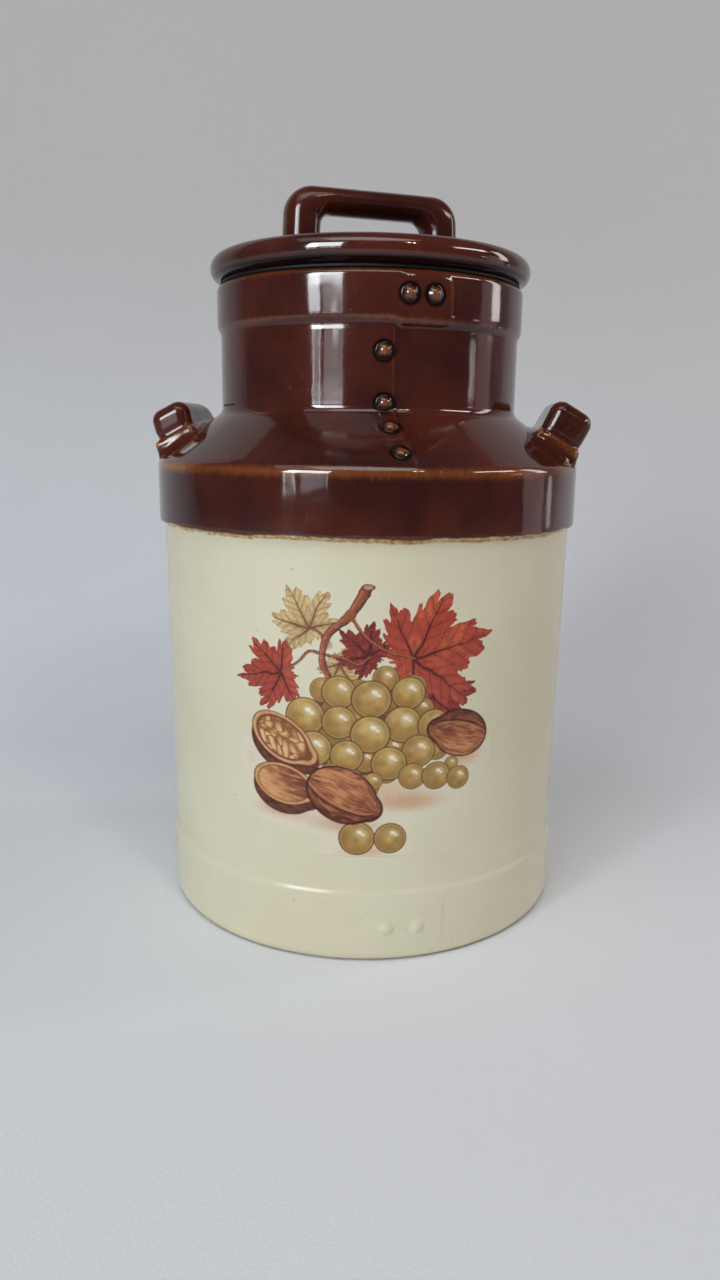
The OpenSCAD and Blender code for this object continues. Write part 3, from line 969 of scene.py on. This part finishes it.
def paint_grape(canvas, u0, v0, r, tone, seed):
    """One translucent grape: tone runs from golden green (0) to russet (1)."""
    x, y = (canvas.u - u0) / r, (canvas.v - v0) / (r * 0.97)
    rho = np.sqrt(x**2 + y**2)
    mask = canvas.edge((rho - 1) * r, 0.2)
    mottle = grain(canvas.u, canvas.v, 2.4, seed)
    green = blend(mottle, rgb(178, 144, 78), rgb(216, 184, 116))
    russet = blend(mottle, rgb(136, 92, 52), rgb(184, 140, 80))
    skin = green * (1 - tone) + russet * tone

    ring = bell(rho, 0.78, 0.14)
    skin = tinge(skin, 0.55 * ring * smoothstep(-0.4, 0.9, -0.3 * x - 0.8 * y), rgb(244, 222, 160))
    skin = tinge(skin, 0.5 * ring * smoothstep(0.1, 0.9, 0.75 * x + 0.5 * y), rgb(136, 98, 50))
    skin = tinge(skin, 0.75 * smoothstep(0.5, 1.25, np.hypot(x - 0.15, y - 0.3)), rgb(132, 96, 42))
    skin = tinge(skin, 0.55 * np.exp(-(((x + 0.3) / 0.24) ** 2 + ((y + 0.42) / 0.2) ** 2)), rgb(206, 140, 82))
    skin = tinge(skin, 0.65 * np.exp(-(((x - 0.2) / 0.36) ** 2 + ((y - 0.3) / 0.3) ** 2)), rgb(244, 228, 184))
    skin = tinge(skin, 0.35 * smoothstep(0.8, 0.88, rho) * smoothstep(0.95, 0.9, rho), rgb(232, 206, 150))
    skin = tinge(skin, 0.85 * smoothstep(0.88, 0.99, rho), rgb(98, 62, 24))
    canvas.lay(mask, skin)
    for dx, dy, size in ((0.16, 0.36, 0.12), (0.36, 0.2, 0.08)):
        spot = np.hypot((x - dx) * 0.8 + (y - dy) * 0.3, y - dy) - size
        canvas.lay(canvas.edge(spot * r, 0.3) * 0.9, rgb(250, 246, 230))


def bunch_places(centre, half, radii, rng):
    """(u, v, radius) of grapes packed from the centre outwards, touching but not in rows."""
    places = []
    for r in radii:
        best = None
        for _ in range(240):
            turn, reach = rng.uniform(0, 2 * math.pi), math.sqrt(rng.uniform())
            u0 = centre[0] + half[0] * reach * math.cos(turn)
            v0 = centre[1] + half[1] * reach * math.sin(turn)
            clear = all(math.hypot(u0 - u1, v0 - v1) > 0.84 * (r + r1) for u1, v1, r1 in places)
            if clear and (best is None or reach < best[0]):
                best = (reach, u0, v0)
        if best:
            places.append((best[1], best[2], r))
    return sorted(places, key=lambda place: -place[1])


# The lobes of a vine leaf: (degrees from the middle lobe, length, half width in degrees)
LOBES = (
    (0, 1.0, 38),
    (50, 0.88, 36), (-52, 0.9, 36),
    (102, 0.68, 40), (-106, 0.66, 40),
    (156, 0.36, 34), (-158, 0.36, 34),
)


def leaf_edge(theta):
    """How far a vine leaf reaches at angle theta, in degrees from its middle lobe, as a share of its size."""
    reach = np.full_like(theta, 0.2)
    for middle, length, width in LOBES:
        off = np.abs((theta - middle + 180) % 360 - 180) / width
        lobe = length * (1 - 0.52 * np.clip(off, 0, 1) ** 1.15) * (off < 1)
        reach = np.maximum(reach, lobe)
    tooth = np.abs(((theta / 14.3 + 0.2) % 1) - 0.3) * (0.6 + 0.8 * grain(theta, theta * 0, 11.0, 3))
    small = np.abs(((theta / 5.3 + 0.4) % 1) - 0.4)
    return reach * (1.03 - 0.27 * tooth - 0.05 * small)


def paint_leaf(canvas, u0, v0, size, degrees, palette, seed):
    """A vine leaf with veins; palette holds its light, middle, dark and vein colours."""
    light, middle, dark, vein = palette
    x, y = turned(canvas.u, canvas.v, u0, v0, degrees)
    x = x + (grain(canvas.u, canvas.v, 4.0, seed) - 0.5) * 1.1
    y = y + (grain(canvas.u, canvas.v, 4.0, seed + 9) - 0.5) * 1.1
    rho = np.hypot(x, y)
    theta = np.degrees(np.arctan2(y, x))
    reach = leaf_edge(theta) * size
    outline = (rho - reach) * 0.8
    mask = canvas.edge(outline, 0.2)

    across = np.full_like(rho, 1e3)
    along = np.zeros_like(rho)
    lobe_size = np.ones_like(rho)
    for angle, length, _ in LOBES[:5]:
        a = math.radians(angle)
        forward = x * math.cos(a) + y * math.sin(a)
        sideways = np.abs(-x * math.sin(a) + y * math.cos(a))
        nearer = (forward > 0) & (sideways < across)
        across = np.where(nearer, sideways, across)
        along = np.where(nearer, forward, along)
        lobe_size = np.where(nearer, length * size, lobe_size)
    pitch = size * 0.155
    chevron = (along - across * 0.95) / pitch
    stripe = np.abs((chevron % 1) - 0.5) * pitch

    patch = grain(canvas.u, canvas.v, 5.5, seed + 2)
    stroke = grain(along * 0.7, across * 3.2, 1.3, seed + 3)
    skin = blend(smoothstep(0.3, 0.75, patch), middle, light)
    low_side = smoothstep(0.35, -0.6, (canvas.v - v0) / size + 0.5 * (patch - 0.5))
    skin = tinge(skin, low_side * 0.5, dark * 0.4 + middle * 0.6 + rgb(6, 10, 22))
    skin = tinge(skin, smoothstep(0.45, 0.9, stroke) * 0.5, dark)
    fold = smoothstep(0.0, 2.2, stripe)
    skin = tinge(skin, (1 - fold) * 0.28, dark)
    skin = tinge(skin, 0.35 * (1 - smoothstep(0, 2.6, across)), dark)
    scratch = smoothstep(0.78, 0.92, grain(along * 0.45, across * 2.4, 0.8, seed + 5))
    skin = tinge(skin, scratch * 0.5, light * 1.2)
    border = smoothstep(-1.1, 0.0, outline)
    skin = tinge(skin, border * 0.45, dark * 0.85)
    canvas.lay(mask, np.clip(skin, 0, 1))

    thick = 0.5 * np.clip(1.05 - along / (lobe_size + 1e-6), 0.14, 1)
    canvas.lay(mask * canvas.edge(across - thick, 0.16) * (along > 0) * 0.9, vein)
    side_vein = canvas.edge(stripe - 0.12, 0.16) * (along > 0.1 * size) * (across < size * 0.3)
    canvas.lay(mask * side_vein * 0.7, vein)


def nut_frame(canvas, u0, v0, long, wide, degrees):
    """Coordinates of a nut: x along it and y across it, both -1 to 1, and the distance to its outline."""
    x, y = turned(canvas.u, canvas.v, u0, v0, degrees)
    x, y = x / long, y / wide
    tip = 0.16 * smoothstep(0.72, 1.04, x)
    rho = np.sqrt((x * (1 - tip)) ** 2 + (y * (1 + 1.6 * tip)) ** 2)
    return x, y, rho, (rho - 1) * wide


def paint_nut(canvas, u0, v0, long, wide, degrees, seed):
    """A whole walnut: a shell with fine ridges along it and its seam near the lower side."""
    x, y, rho, outline = nut_frame(canvas, u0, v0, long, wide, degrees)
    mask = canvas.edge(outline, 0.2)
    across = y / np.sqrt(np.clip(1 - x**2, 0.04, 1))
    wander = grain(x * 3, across * 1.5, 1.0, seed) - 0.5
    ridge = grain(x * 2.6 + wander, across * 9 + wander * 2.2, 1.0, seed + 1)
    fine = grain(x * 5 - wander, across * 24 + wander * 4, 1.0, seed + 2)
    lit = np.clip(0.62 + 0.45 * y - 0.2 * x - 0.3 * rho**2, 0, 1)
    shell = blend(lit * 1.15, rgb(118, 62, 44), rgb(196, 126, 84))
    shell = tinge(shell, 0.6 * smoothstep(0.56, 0.8, ridge) * (0.4 + lit), rgb(220, 156, 108))
    shell = tinge(shell, 0.5 * smoothstep(0.44, 0.22, ridge), rgb(112, 54, 38))
    shell = tinge(shell, 0.45 * smoothstep(0.62, 0.8, fine), rgb(232, 164, 112))
    shell = tinge(shell, 0.5 * smoothstep(0.36, 0.2, fine), rgb(98, 46, 32))
    sheen = np.exp(-(((x + 0.1) / 0.5) ** 2 + ((y - 0.45) / 0.3) ** 2))
    shell = tinge(shell, 0.45 * sheen, rgb(204, 142, 100))
    shell = tinge(shell, 0.85 * bell(across, -0.5, 0.06), rgb(70, 32, 20))
    shell = tinge(shell, 0.65 * bell(across, -0.4, 0.05), rgb(206, 146, 96))
    shell = tinge(shell, 0.4 * smoothstep(-0.5, -0.95, across), rgb(66, 30, 20))
    shell = tinge(shell, 0.9 * smoothstep(0.91, 0.99, rho), rgb(54, 24, 16))
    canvas.lay(mask, np.clip(shell, 0, 1))


def lump_distances(x, y, count, seed):
    """Distances from every point to the nearest and the second nearest of some scattered lumps."""
    rng = np.random.default_rng(seed)
    nearest = np.full(x.shape, 9.0)
    second = np.full(x.shape, 9.0)
    for u0, v0 in zip(rng.uniform(-1, 1, count), rng.uniform(-0.9, 0.9, count)):
        far = np.hypot(x - u0, y - v0)
        second = np.minimum(second, np.maximum(nearest, far))
        nearest = np.minimum(nearest, far)
    return nearest, second


def paint_half_nut(canvas, u0, v0, long, wide, degrees, seed, kernel):
    """Half a walnut seen from above: dark shell below, pale rim, and a kernel or an empty hollow."""
    x, y, rho, outline = nut_frame(canvas, u0, v0 - 0.2 * wide, long, wide, degrees)
    bark = grain(x * 7, y * 10, 1.0, seed)
    canvas.lay(canvas.edge(outline, 0.2), blend(bark, rgb(78, 42, 34), rgb(126, 76, 56)))
    x, y, rho, outline = nut_frame(canvas, u0, v0 + 0.1 * wide, long * 0.97, wide * 0.86, degrees)
    rim = blend(grain(x * 5, y * 5, 1.0, seed + 1), rgb(206, 148, 100), rgb(232, 184, 134))
    canvas.lay(canvas.edge(outline, 0.2), rim)
    canvas.lay(canvas.edge(np.abs(outline) - 0.18, 0.2) * 0.8, rgb(92, 48, 28))
    inner = outline + wide * 0.13
    hollow = canvas.edge(inner, 0.3)
    if kernel:
        canvas.lay(hollow, rgb(128, 76, 46))
        wander = 0.34 * (grain(x * 3, y * 3, 1.0, seed + 4) - 0.5)
        nearest, second = lump_distances(x + wander, y * 0.75 - wander, 54, seed + 2)
        crease = smoothstep(0.0, 0.05, second - nearest)
        swell = np.clip(1 - (nearest / 0.17) ** 2, 0, 1)
        meat = blend(0.25 * crease + 0.75 * crease * swell, rgb(146, 90, 50), rgb(240, 200, 146))
        meat = tinge(meat, 0.6 * bell(y, 0, 0.06), rgb(158, 100, 60))
        canvas.lay(canvas.edge(inner + wide * 0.06, 0.25), np.clip(meat, 0, 1))
    else:
        depth = smoothstep(-0.6, 0.7, 0.7 * x + 0.45 * y + 0.5 * (grain(x * 4, y * 7, 1.0, seed + 3) - 0.5))
        bowl = blend(depth, rgb(222, 164, 112), rgb(126, 66, 42))
        shine = smoothstep(0.72, 0.9, grain(x * 3, y * 11, 1.0, seed + 5))
        bowl = tinge(bowl, shine * 0.5, rgb(240, 200, 152))
        canvas.lay(hollow, bowl)
    canvas.lay(canvas.edge(np.abs(inner) - 0.14, 0.2) * 0.75, rgb(108, 60, 34))


def along_curve(canvas, points):
    """Every grid point's distance from a smooth curve through points, its side, and its place along it."""
    points = np.array(points, dtype=float)
    ends = np.vstack([2 * points[0] - points[1], points, 2 * points[-1] - points[-2]])
    curve = []
    for k in range(1, len(ends) - 2):
        for t in np.linspace(0, 1, 14, endpoint=False):
            a, b, c, d = ends[k - 1 : k + 3]
            square, cube = 2 * a - 5 * b + 4 * c - d, 3 * b - a - 3 * c + d
            curve.append(0.5 * (2 * b + (c - a) * t + square * t**2 + cube * t**3))
    curve = np.array(curve + [points[-1]])
    best = np.full(canvas.u.shape, 1e3)
    side = np.zeros(canvas.u.shape)
    place = np.zeros(canvas.u.shape)
    for k in range(len(curve) - 1):
        start, span = curve[k], curve[k + 1] - curve[k]
        dx, dy = canvas.u - start[0], canvas.v - start[1]
        t = np.clip((dx * span[0] + dy * span[1]) / (span @ span), 0, 1)
        far = np.hypot(dx - t * span[0], dy - t * span[1])
        nearer = far < best
        best = np.where(nearer, far, best)
        side = np.where(nearer, np.sign(dx * span[1] - dy * span[0]) * far, side)
        place = np.where(nearer, (k + t) / (len(curve) - 1), place)
    return best, side, place


def paint_stem(canvas, points, start_w, end_w, seed):
    """A woody stem that thins from start_w to end_w."""
    best, side, place = along_curve(canvas, points)
    half = (start_w + (end_w - start_w) * place) / 2
    knot = 1 + 0.25 * (grain(place * 40, place * 0, 1.6, seed) - 0.5)
    half = half * knot
    bark = grain(side * 2.2, place * 60, 1.0, seed + 1)
    wood = blend(0.5 - 0.6 * side / (half + 1e-6), rgb(110, 56, 40), rgb(202, 120, 84))
    wood = tinge(wood, smoothstep(0.6, 0.85, bark) * 0.45, rgb(222, 158, 116))
    wood = tinge(wood, smoothstep(0.55, 1.0, best / half) * 0.95, rgb(58, 26, 20))
    canvas.lay(canvas.edge(best - half, 0.18), np.clip(wood, 0, 1))


RED_LEAF = (rgb(216, 104, 70), rgb(190, 78, 56), rgb(144, 58, 48), rgb(88, 32, 28))
DEEP_LEAF = (rgb(184, 80, 64), rgb(158, 60, 52), rgb(116, 44, 40), rgb(80, 30, 28))
PALE_LEAF = (rgb(234, 214, 160), rgb(220, 194, 140), rgb(188, 152, 102), rgb(124, 86, 56))


def paint_picture(canvas):
    """Leaves and stems at the top, the bunch in the middle, and nuts and loose grapes at the foot."""
    for u0, v0, half_u, half_v, strength in (
        (-30, -34, 17, 5, 0.85), (-6, -37.5, 19, 5, 0.9), (16, -29, 20, 5.5, 0.9),
        (37, -14, 12, 5.5, 0.85), (1, -47.5, 15, 3.6, 0.8), (-42, -15, 5, 8, 0.5), (2, -22, 30, 10, 0.7),
    ):
        paint_shadow(canvas, u0, v0, half_u, half_v, strength)

    paint_leaf(canvas, -19, 33, 17, 118, PALE_LEAF, 11)
    paint_leaf(canvas, -9, 21, 12, -52, PALE_LEAF, 15)
    paint_leaf(canvas, 2, 24, 14, 140, DEEP_LEAF, 21)
    paint_leaf(canvas, -29, 17, 19, 192, RED_LEAF, 31)
    paint_leaf(canvas, 24, 10, 21, -48, DEEP_LEAF, 51)
    paint_leaf(canvas, 17, 23, 31, 14, RED_LEAF, 41)

    dusk = rgb(88, 54, 34)
    body = np.hypot((canvas.u - 1) / 25, (canvas.v + 3) / 20)
    canvas.lay(canvas.edge((body - 0.9) * 20, 1.2) * 0.95, dusk)

    stalk = [(-11, 14), (-14.5, 22), (-12.5, 31), (-6, 37), (-3, 41), (0.5, 47)]
    paint_stem(canvas, [(-5, 38), (0, 31), (7, 26), (17, 23)], 1.5, 0.9, 63)
    paint_stem(canvas, [(-14, 24), (-19, 25), (-23, 21), (-29, 17)], 1.4, 0.9, 65)
    paint_stem(canvas, [(-13, 29), (-16, 32), (-19, 33)], 1.1, 0.6, 67)
    paint_stem(canvas, [(-13, 24), (-7, 23), (-2, 21), (2, 24)], 1.3, 0.7, 69)
    paint_stem(canvas, stalk, 2.1, 4.0, 61)
    for k, (u0, v0) in enumerate(((-5.4, 37.6), (-12.6, 27.5))):
        knot = np.hypot(canvas.u - u0, (canvas.v - v0) * 1.2) - 2.3 + 0.4 * k
        canvas.lay(canvas.edge(knot, 0.7) * 0.7, rgb(158, 90, 60))
    cut = np.hypot((canvas.u - 0.9) / 2.5, (canvas.v - 47.6) / 1.2)
    canvas.lay(canvas.edge((cut - 1) * 1.4, 0.25), rgb(96, 50, 34))
    canvas.lay(canvas.edge((cut - 0.7) * 1.4, 0.25), rgb(206, 150, 112))

    rng = np.random.default_rng(19)
    back = bunch_places((2, -3), (27, 20), [4.7] * 36, rng)
    for k, (u0, v0, r) in enumerate(back):
        paint_grape(canvas, u0, v0, r, rng.uniform(0.45, 0.9), 100 + 7 * k)
    radii = list(rng.uniform(5.6, 7.3, 15)) + list(rng.uniform(3.2, 4.8, 10))
    for k, (u0, v0, r) in enumerate(bunch_places((2, -3), (24, 18.5), radii, rng)):
        paint_grape(canvas, u0, v0, r, rng.uniform(0.0, 0.35), 300 + 7 * k)
    tail_radii = (5.4, 5.0, 4.6, 5.0, 4.2, 2.8)
    for k, (u0, v0, r) in enumerate(bunch_places((26, -20), (11, 5.5), tail_radii, rng)):
        paint_grape(canvas, u0, v0, r, rng.uniform(0.1, 0.4), 500 + 7 * k)
    for u0, r in ((-2, 6.6), (10, 6.0)):
        paint_grape(canvas, u0, -42.5, r, 0.35, 600 + int(u0))

    paint_nut(canvas, 35.5, -5, 11.4, 8.8, 166, 701)
    paint_half_nut(canvas, -29.5, -8, 13.2, 9.2, -30, 711, True)
    paint_half_nut(canvas, -29, -25, 12.4, 8.6, -12, 721, False)
    paint_nut(canvas, -7.5, -26.5, 13.4, 10.2, -26, 731)


def make_picture():
    """The transfer: a thin sheet on the cream wall, cut close round the painted outline."""
    middle_z = (PICTURE_LOW[2] + PICTURE_HIGH[2]) / 2
    canvas = Canvas(PICTURE_HALF, PICTURE_HALF, PICTURE_PITCH)
    paint_picture(canvas)
    z = canvas.v + middle_z
    turn = PICTURE_TURN + canvas.u / wall_radius(middle_z)
    lift = -SHEET_T + 2 * SHEET_T * smoothstep(0.0, 0.08, canvas.cover)
    r = wall_radius(z) + slow_waves(turn, z) + lift
    a = turn - math.pi / 2
    points = np.stack([r * np.cos(a), r * np.sin(a), z], axis=-1)
    keep = canvas.cover > 0.001
    rows, columns = keep.shape
    cell = keep[:-1, :-1] | keep[1:, :-1] | keep[:-1, 1:] | keep[1:, 1:]
    number = np.arange(rows * columns).reshape(rows, columns)
    quads = np.stack([number[:-1, :-1], number[:-1, 1:], number[1:, 1:], number[1:, :-1]], axis=-1)[cell]
    used, flat = np.unique(quads, return_inverse=True)
    obj = build_mesh("fruit_picture", points.reshape(-1, 3)[used], flat.reshape(-1, 4).tolist())
    shown = canvas.colour
    linear = np.where(shown <= 0.04045, shown / 12.92, ((shown + 0.055) / 1.055) ** 2.4)
    rgba = np.concatenate([linear, canvas.cover[..., None]], axis=-1).reshape(-1, 4)[used]
    paint = obj.data.color_attributes.new("paint", "FLOAT_COLOR", "POINT")
    paint.data.foreach_set("color", rgba.astype(np.float32).ravel())
    sheet = obj.modifiers.new("sheet", "SOLIDIFY")
    sheet.thickness = SHEET_T * MM
    sheet.offset = -1
    return obj


# ---- Stage, lights and camera ----

CAMERA_TURN = math.radians(5.0)
CAMERA_DISTANCE = 392.0
CAMERA_HEIGHT = 189.0
CAMERA_PITCH = math.radians(12.4)
CAMERA_ROLL = math.radians(0.84)
FOCAL_SHARE = 944 / 1280
AXIS_SHIFT = 4.95 / 1280


def from_camera_side(x, y, z):
    """The frame's point that the camera sees x to the right of, y beyond and z above the jar's foot."""
    c, s = math.cos(CAMERA_TURN), math.sin(CAMERA_TURN)
    return Vector((x * c - y * s, x * s + y * c, z)) * MM


def make_camera():
    data = bpy.data.cameras.new("camera")
    data.sensor_fit = "VERTICAL"
    data.sensor_height = 36
    data.lens = 36 * FOCAL_SHARE
    data.shift_x = -AXIS_SHIFT
    data.clip_start = 0.01
    obj = bpy.data.objects.new("camera", data)
    bpy.context.scene.collection.objects.link(obj)
    forward = from_camera_side(0, math.cos(CAMERA_PITCH), -math.sin(CAMERA_PITCH)).normalized()
    right = from_camera_side(1, 0, 0).normalized()
    up = right.cross(forward)
    c, s = math.cos(CAMERA_ROLL), math.sin(CAMERA_ROLL)
    rolled_right, rolled_up = right * c + up * s, up * c - right * s
    place = Matrix((rolled_right, rolled_up, -forward)).transposed().to_4x4()
    place.translation = from_camera_side(0, -CAMERA_DISTANCE, CAMERA_HEIGHT)
    obj.matrix_world = place
    bpy.context.scene.camera = obj


def make_stage():
    """A pale sweep: floor, a wide curve and a wall, in one sheet."""
    front, start, radius, top, half = -1100.0, 170.0, 330.0, 1050.0, 1900.0
    outline = [(front, 0.0), (start, 0.0)]
    for a in np.linspace(0.05, math.pi / 2, 30):
        outline.append((start + radius * math.sin(a), radius * (1 - math.cos(a))))
    outline.append((start + radius, top))
    verts = []
    for y, z in outline:
        for x in (-half, half):
            verts.append(np.array(from_camera_side(x, y, z)) / MM)
    faces = [(2 * i, 2 * i + 1, 2 * i + 3, 2 * i + 2) for i in range(len(outline) - 1)]
    sweep = build_mesh("sweep", verts, faces)
    sweep.data.materials.append(backdrop_cloth())


def add_light(name, place, target, width, height, power, colour, seen):
    """A rectangular light. seen is "both", "glossy" (only in reflections) or "diffuse" (not in them)."""
    data = bpy.data.lights.new(name, "AREA")
    data.shape = "RECTANGLE"
    data.size = width * MM
    data.size_y = height * MM
    data.energy = power
    data.color = colour
    obj = bpy.data.objects.new(name, data)
    bpy.context.scene.collection.objects.link(obj)
    position, aim = from_camera_side(*place), from_camera_side(*target)
    obj.location = position
    obj.rotation_euler = (aim - position).to_track_quat("-Z", "Y").to_euler()
    obj.visible_diffuse = seen != "glossy"
    obj.visible_glossy = seen != "diffuse"


def add_panel(name, place, width, height, brightness, colour, seen):
    """A light that faces the jar's axis at its own height, given by how bright it looks."""
    power = brightness * math.pi * width * height * MM**2
    add_light(name, place, (0, 0, place[2]), width, height, power, colour, seen)


WINDOW_DISTANCE = 1500
WINDOW_COLOUR = (0.92, 0.96, 1.0)
SIDE_DISTANCE = 900
STREAK_H = 70
STREAK_COLOUR = (1.0, 0.9, 0.92)
LAMP_SIZE = 34
LAMP_COLOUR = (1.0, 0.72, 0.45)

# Parts of the window: name, degrees left of the camera, width, lowest and highest edge, brightness, seen
WINDOW = (
    ("left", 39.2, 200, 390, 940, 12.0, "both"),
    ("left_low", 39.2, 150, 90, 390, 2.6, "both"),
    ("right", 27.3, 300, 90, 440, 2.4, "both"),
    ("right_patch", 25.0, 90, 372, 398, 16.0, "glossy"),
    ("edge", 20.2, 36, 90, 440, 4.0, "both"),
    ("sky", 31.2, 627, 456, 1190, 19.0, "glossy"),
    ("line_1", 41.8, 12, 90, 390, 15.0, "glossy"),
    ("line_2", 36.6, 12, 90, 390, 13.0, "glossy"),
    ("sill", 31.2, 600, 240, 252, 16.0, "glossy"),
)

# Thin lights seen at the right: place beyond the jar, height, width, brightness
STREAKS = ((-105, 258, 10, 8), (-140, 258, 26, 5), (-168, 258, 10, 8), (290, 108, 16, 4), (322, 108, 10, 5))

# Other lights: name, place, target, width, height, power, colour, seen
FILL_LIGHTS = (
    ("window_fill", (-780, -1290, 700), (0, 0, 100), 600, 700, 3.3, (0.97, 0.98, 1.0), "diffuse"),
    ("strip", (900, 190, 540), (0, 0, 380), 150, 440, 1.3, (1.0, 0.9, 0.88), "both"),
)
ROOM_LIGHTS = (
    ("strip_low", (880, 60, 150), (0, 0, 200), 260, 560, 0.36, (1.0, 0.74, 0.78), "both"),
    ("side_window", (960, -260, 760), (0, 0, 200), 520, 130, 3.0, (1.0, 0.92, 0.9), "glossy"),
    ("top", (-300, -760, 1500), (-200, -560, 0), 1500, 900, 4.3, (1, 1, 1), "both"),
    ("table", (0, -480, 950), (0, -480, 0), 700, 350, 1.75, (1, 1, 1), "both"),
)


def make_lights():
    """A window with bars at the front left, strips at the right, a broad top light, and two small lamps."""
    for name, turn, width, bottom, top, brightness, seen in WINDOW:
        a = math.radians(turn)
        place = (-WINDOW_DISTANCE * math.sin(a), -WINDOW_DISTANCE * math.cos(a), (bottom + top) / 2)
        add_panel(f"window_{name}", place, width, top - bottom, brightness, WINDOW_COLOUR, seen)
    for light in FILL_LIGHTS:
        add_light(*light)
    for i, (y, z, width, brightness) in enumerate(STREAKS):
        add_panel(f"streak_{i}", (SIDE_DISTANCE, y, z), width, STREAK_H, brightness, STREAK_COLOUR, "glossy")
    for light in ROOM_LIGHTS:
        add_light(*light)
    for i, x in enumerate((400, 470)):
        add_light(f"lamp_{i}", (x, -760, 900), (0, 0, 240), LAMP_SIZE, LAMP_SIZE, 0.5, LAMP_COLOUR, "both")
    world = bpy.data.worlds.new("room")
    world.use_nodes = True
    background = world.node_tree.nodes["Background"]
    background.inputs["Color"].default_value = (0.75, 0.8, 0.9, 1)
    background.inputs["Strength"].default_value = 0.105
    bpy.context.scene.world = world


# ---- Put it together ----


def place_piece(obj, material, body, node):
    """Gives a piece its material, and puts it in the CAD node's place on its body."""
    obj.data.materials.append(material)
    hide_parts(node)
    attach(obj, body)


brown = brown_glaze("brown_glaze")
soft_brown = brown_glaze("soft_brown_glaze", 0.06, 0.6)
place_piece(make_jar(), jar_glaze(), "jar", "jar_body")
place_piece(make_ear("left_ear", -1, LEFT_EAR, 0.08), soft_brown, "jar", "left_ear")
place_piece(make_ear("right_ear", 1, RIGHT_EAR, 0.22), soft_brown, "jar", "right_ear")
place_piece(make_picture(), fired_transfer(), "jar", "fruit_transfer")
# The lid's underside is painted near black from a little above the seal down: a painted shade under the rim.
lid_top = make_turned("lid_top", lid_profile(), shaded_below=SEAL_HIGH[2] + 2.2)
place_piece(lid_top, brown, "lid", "lid_plate")
place_piece(make_handle(), soft_brown, "lid", "lid_handle")
seal_ring = make_turned("seal_ring", seal_profile(), closed=True)
place_piece(seal_ring, seal_rubber(), "seal", "lid_seal")

make_stage()
make_lights()
make_camera()
bpy.context.scene.view_settings.view_transform = "Standard"
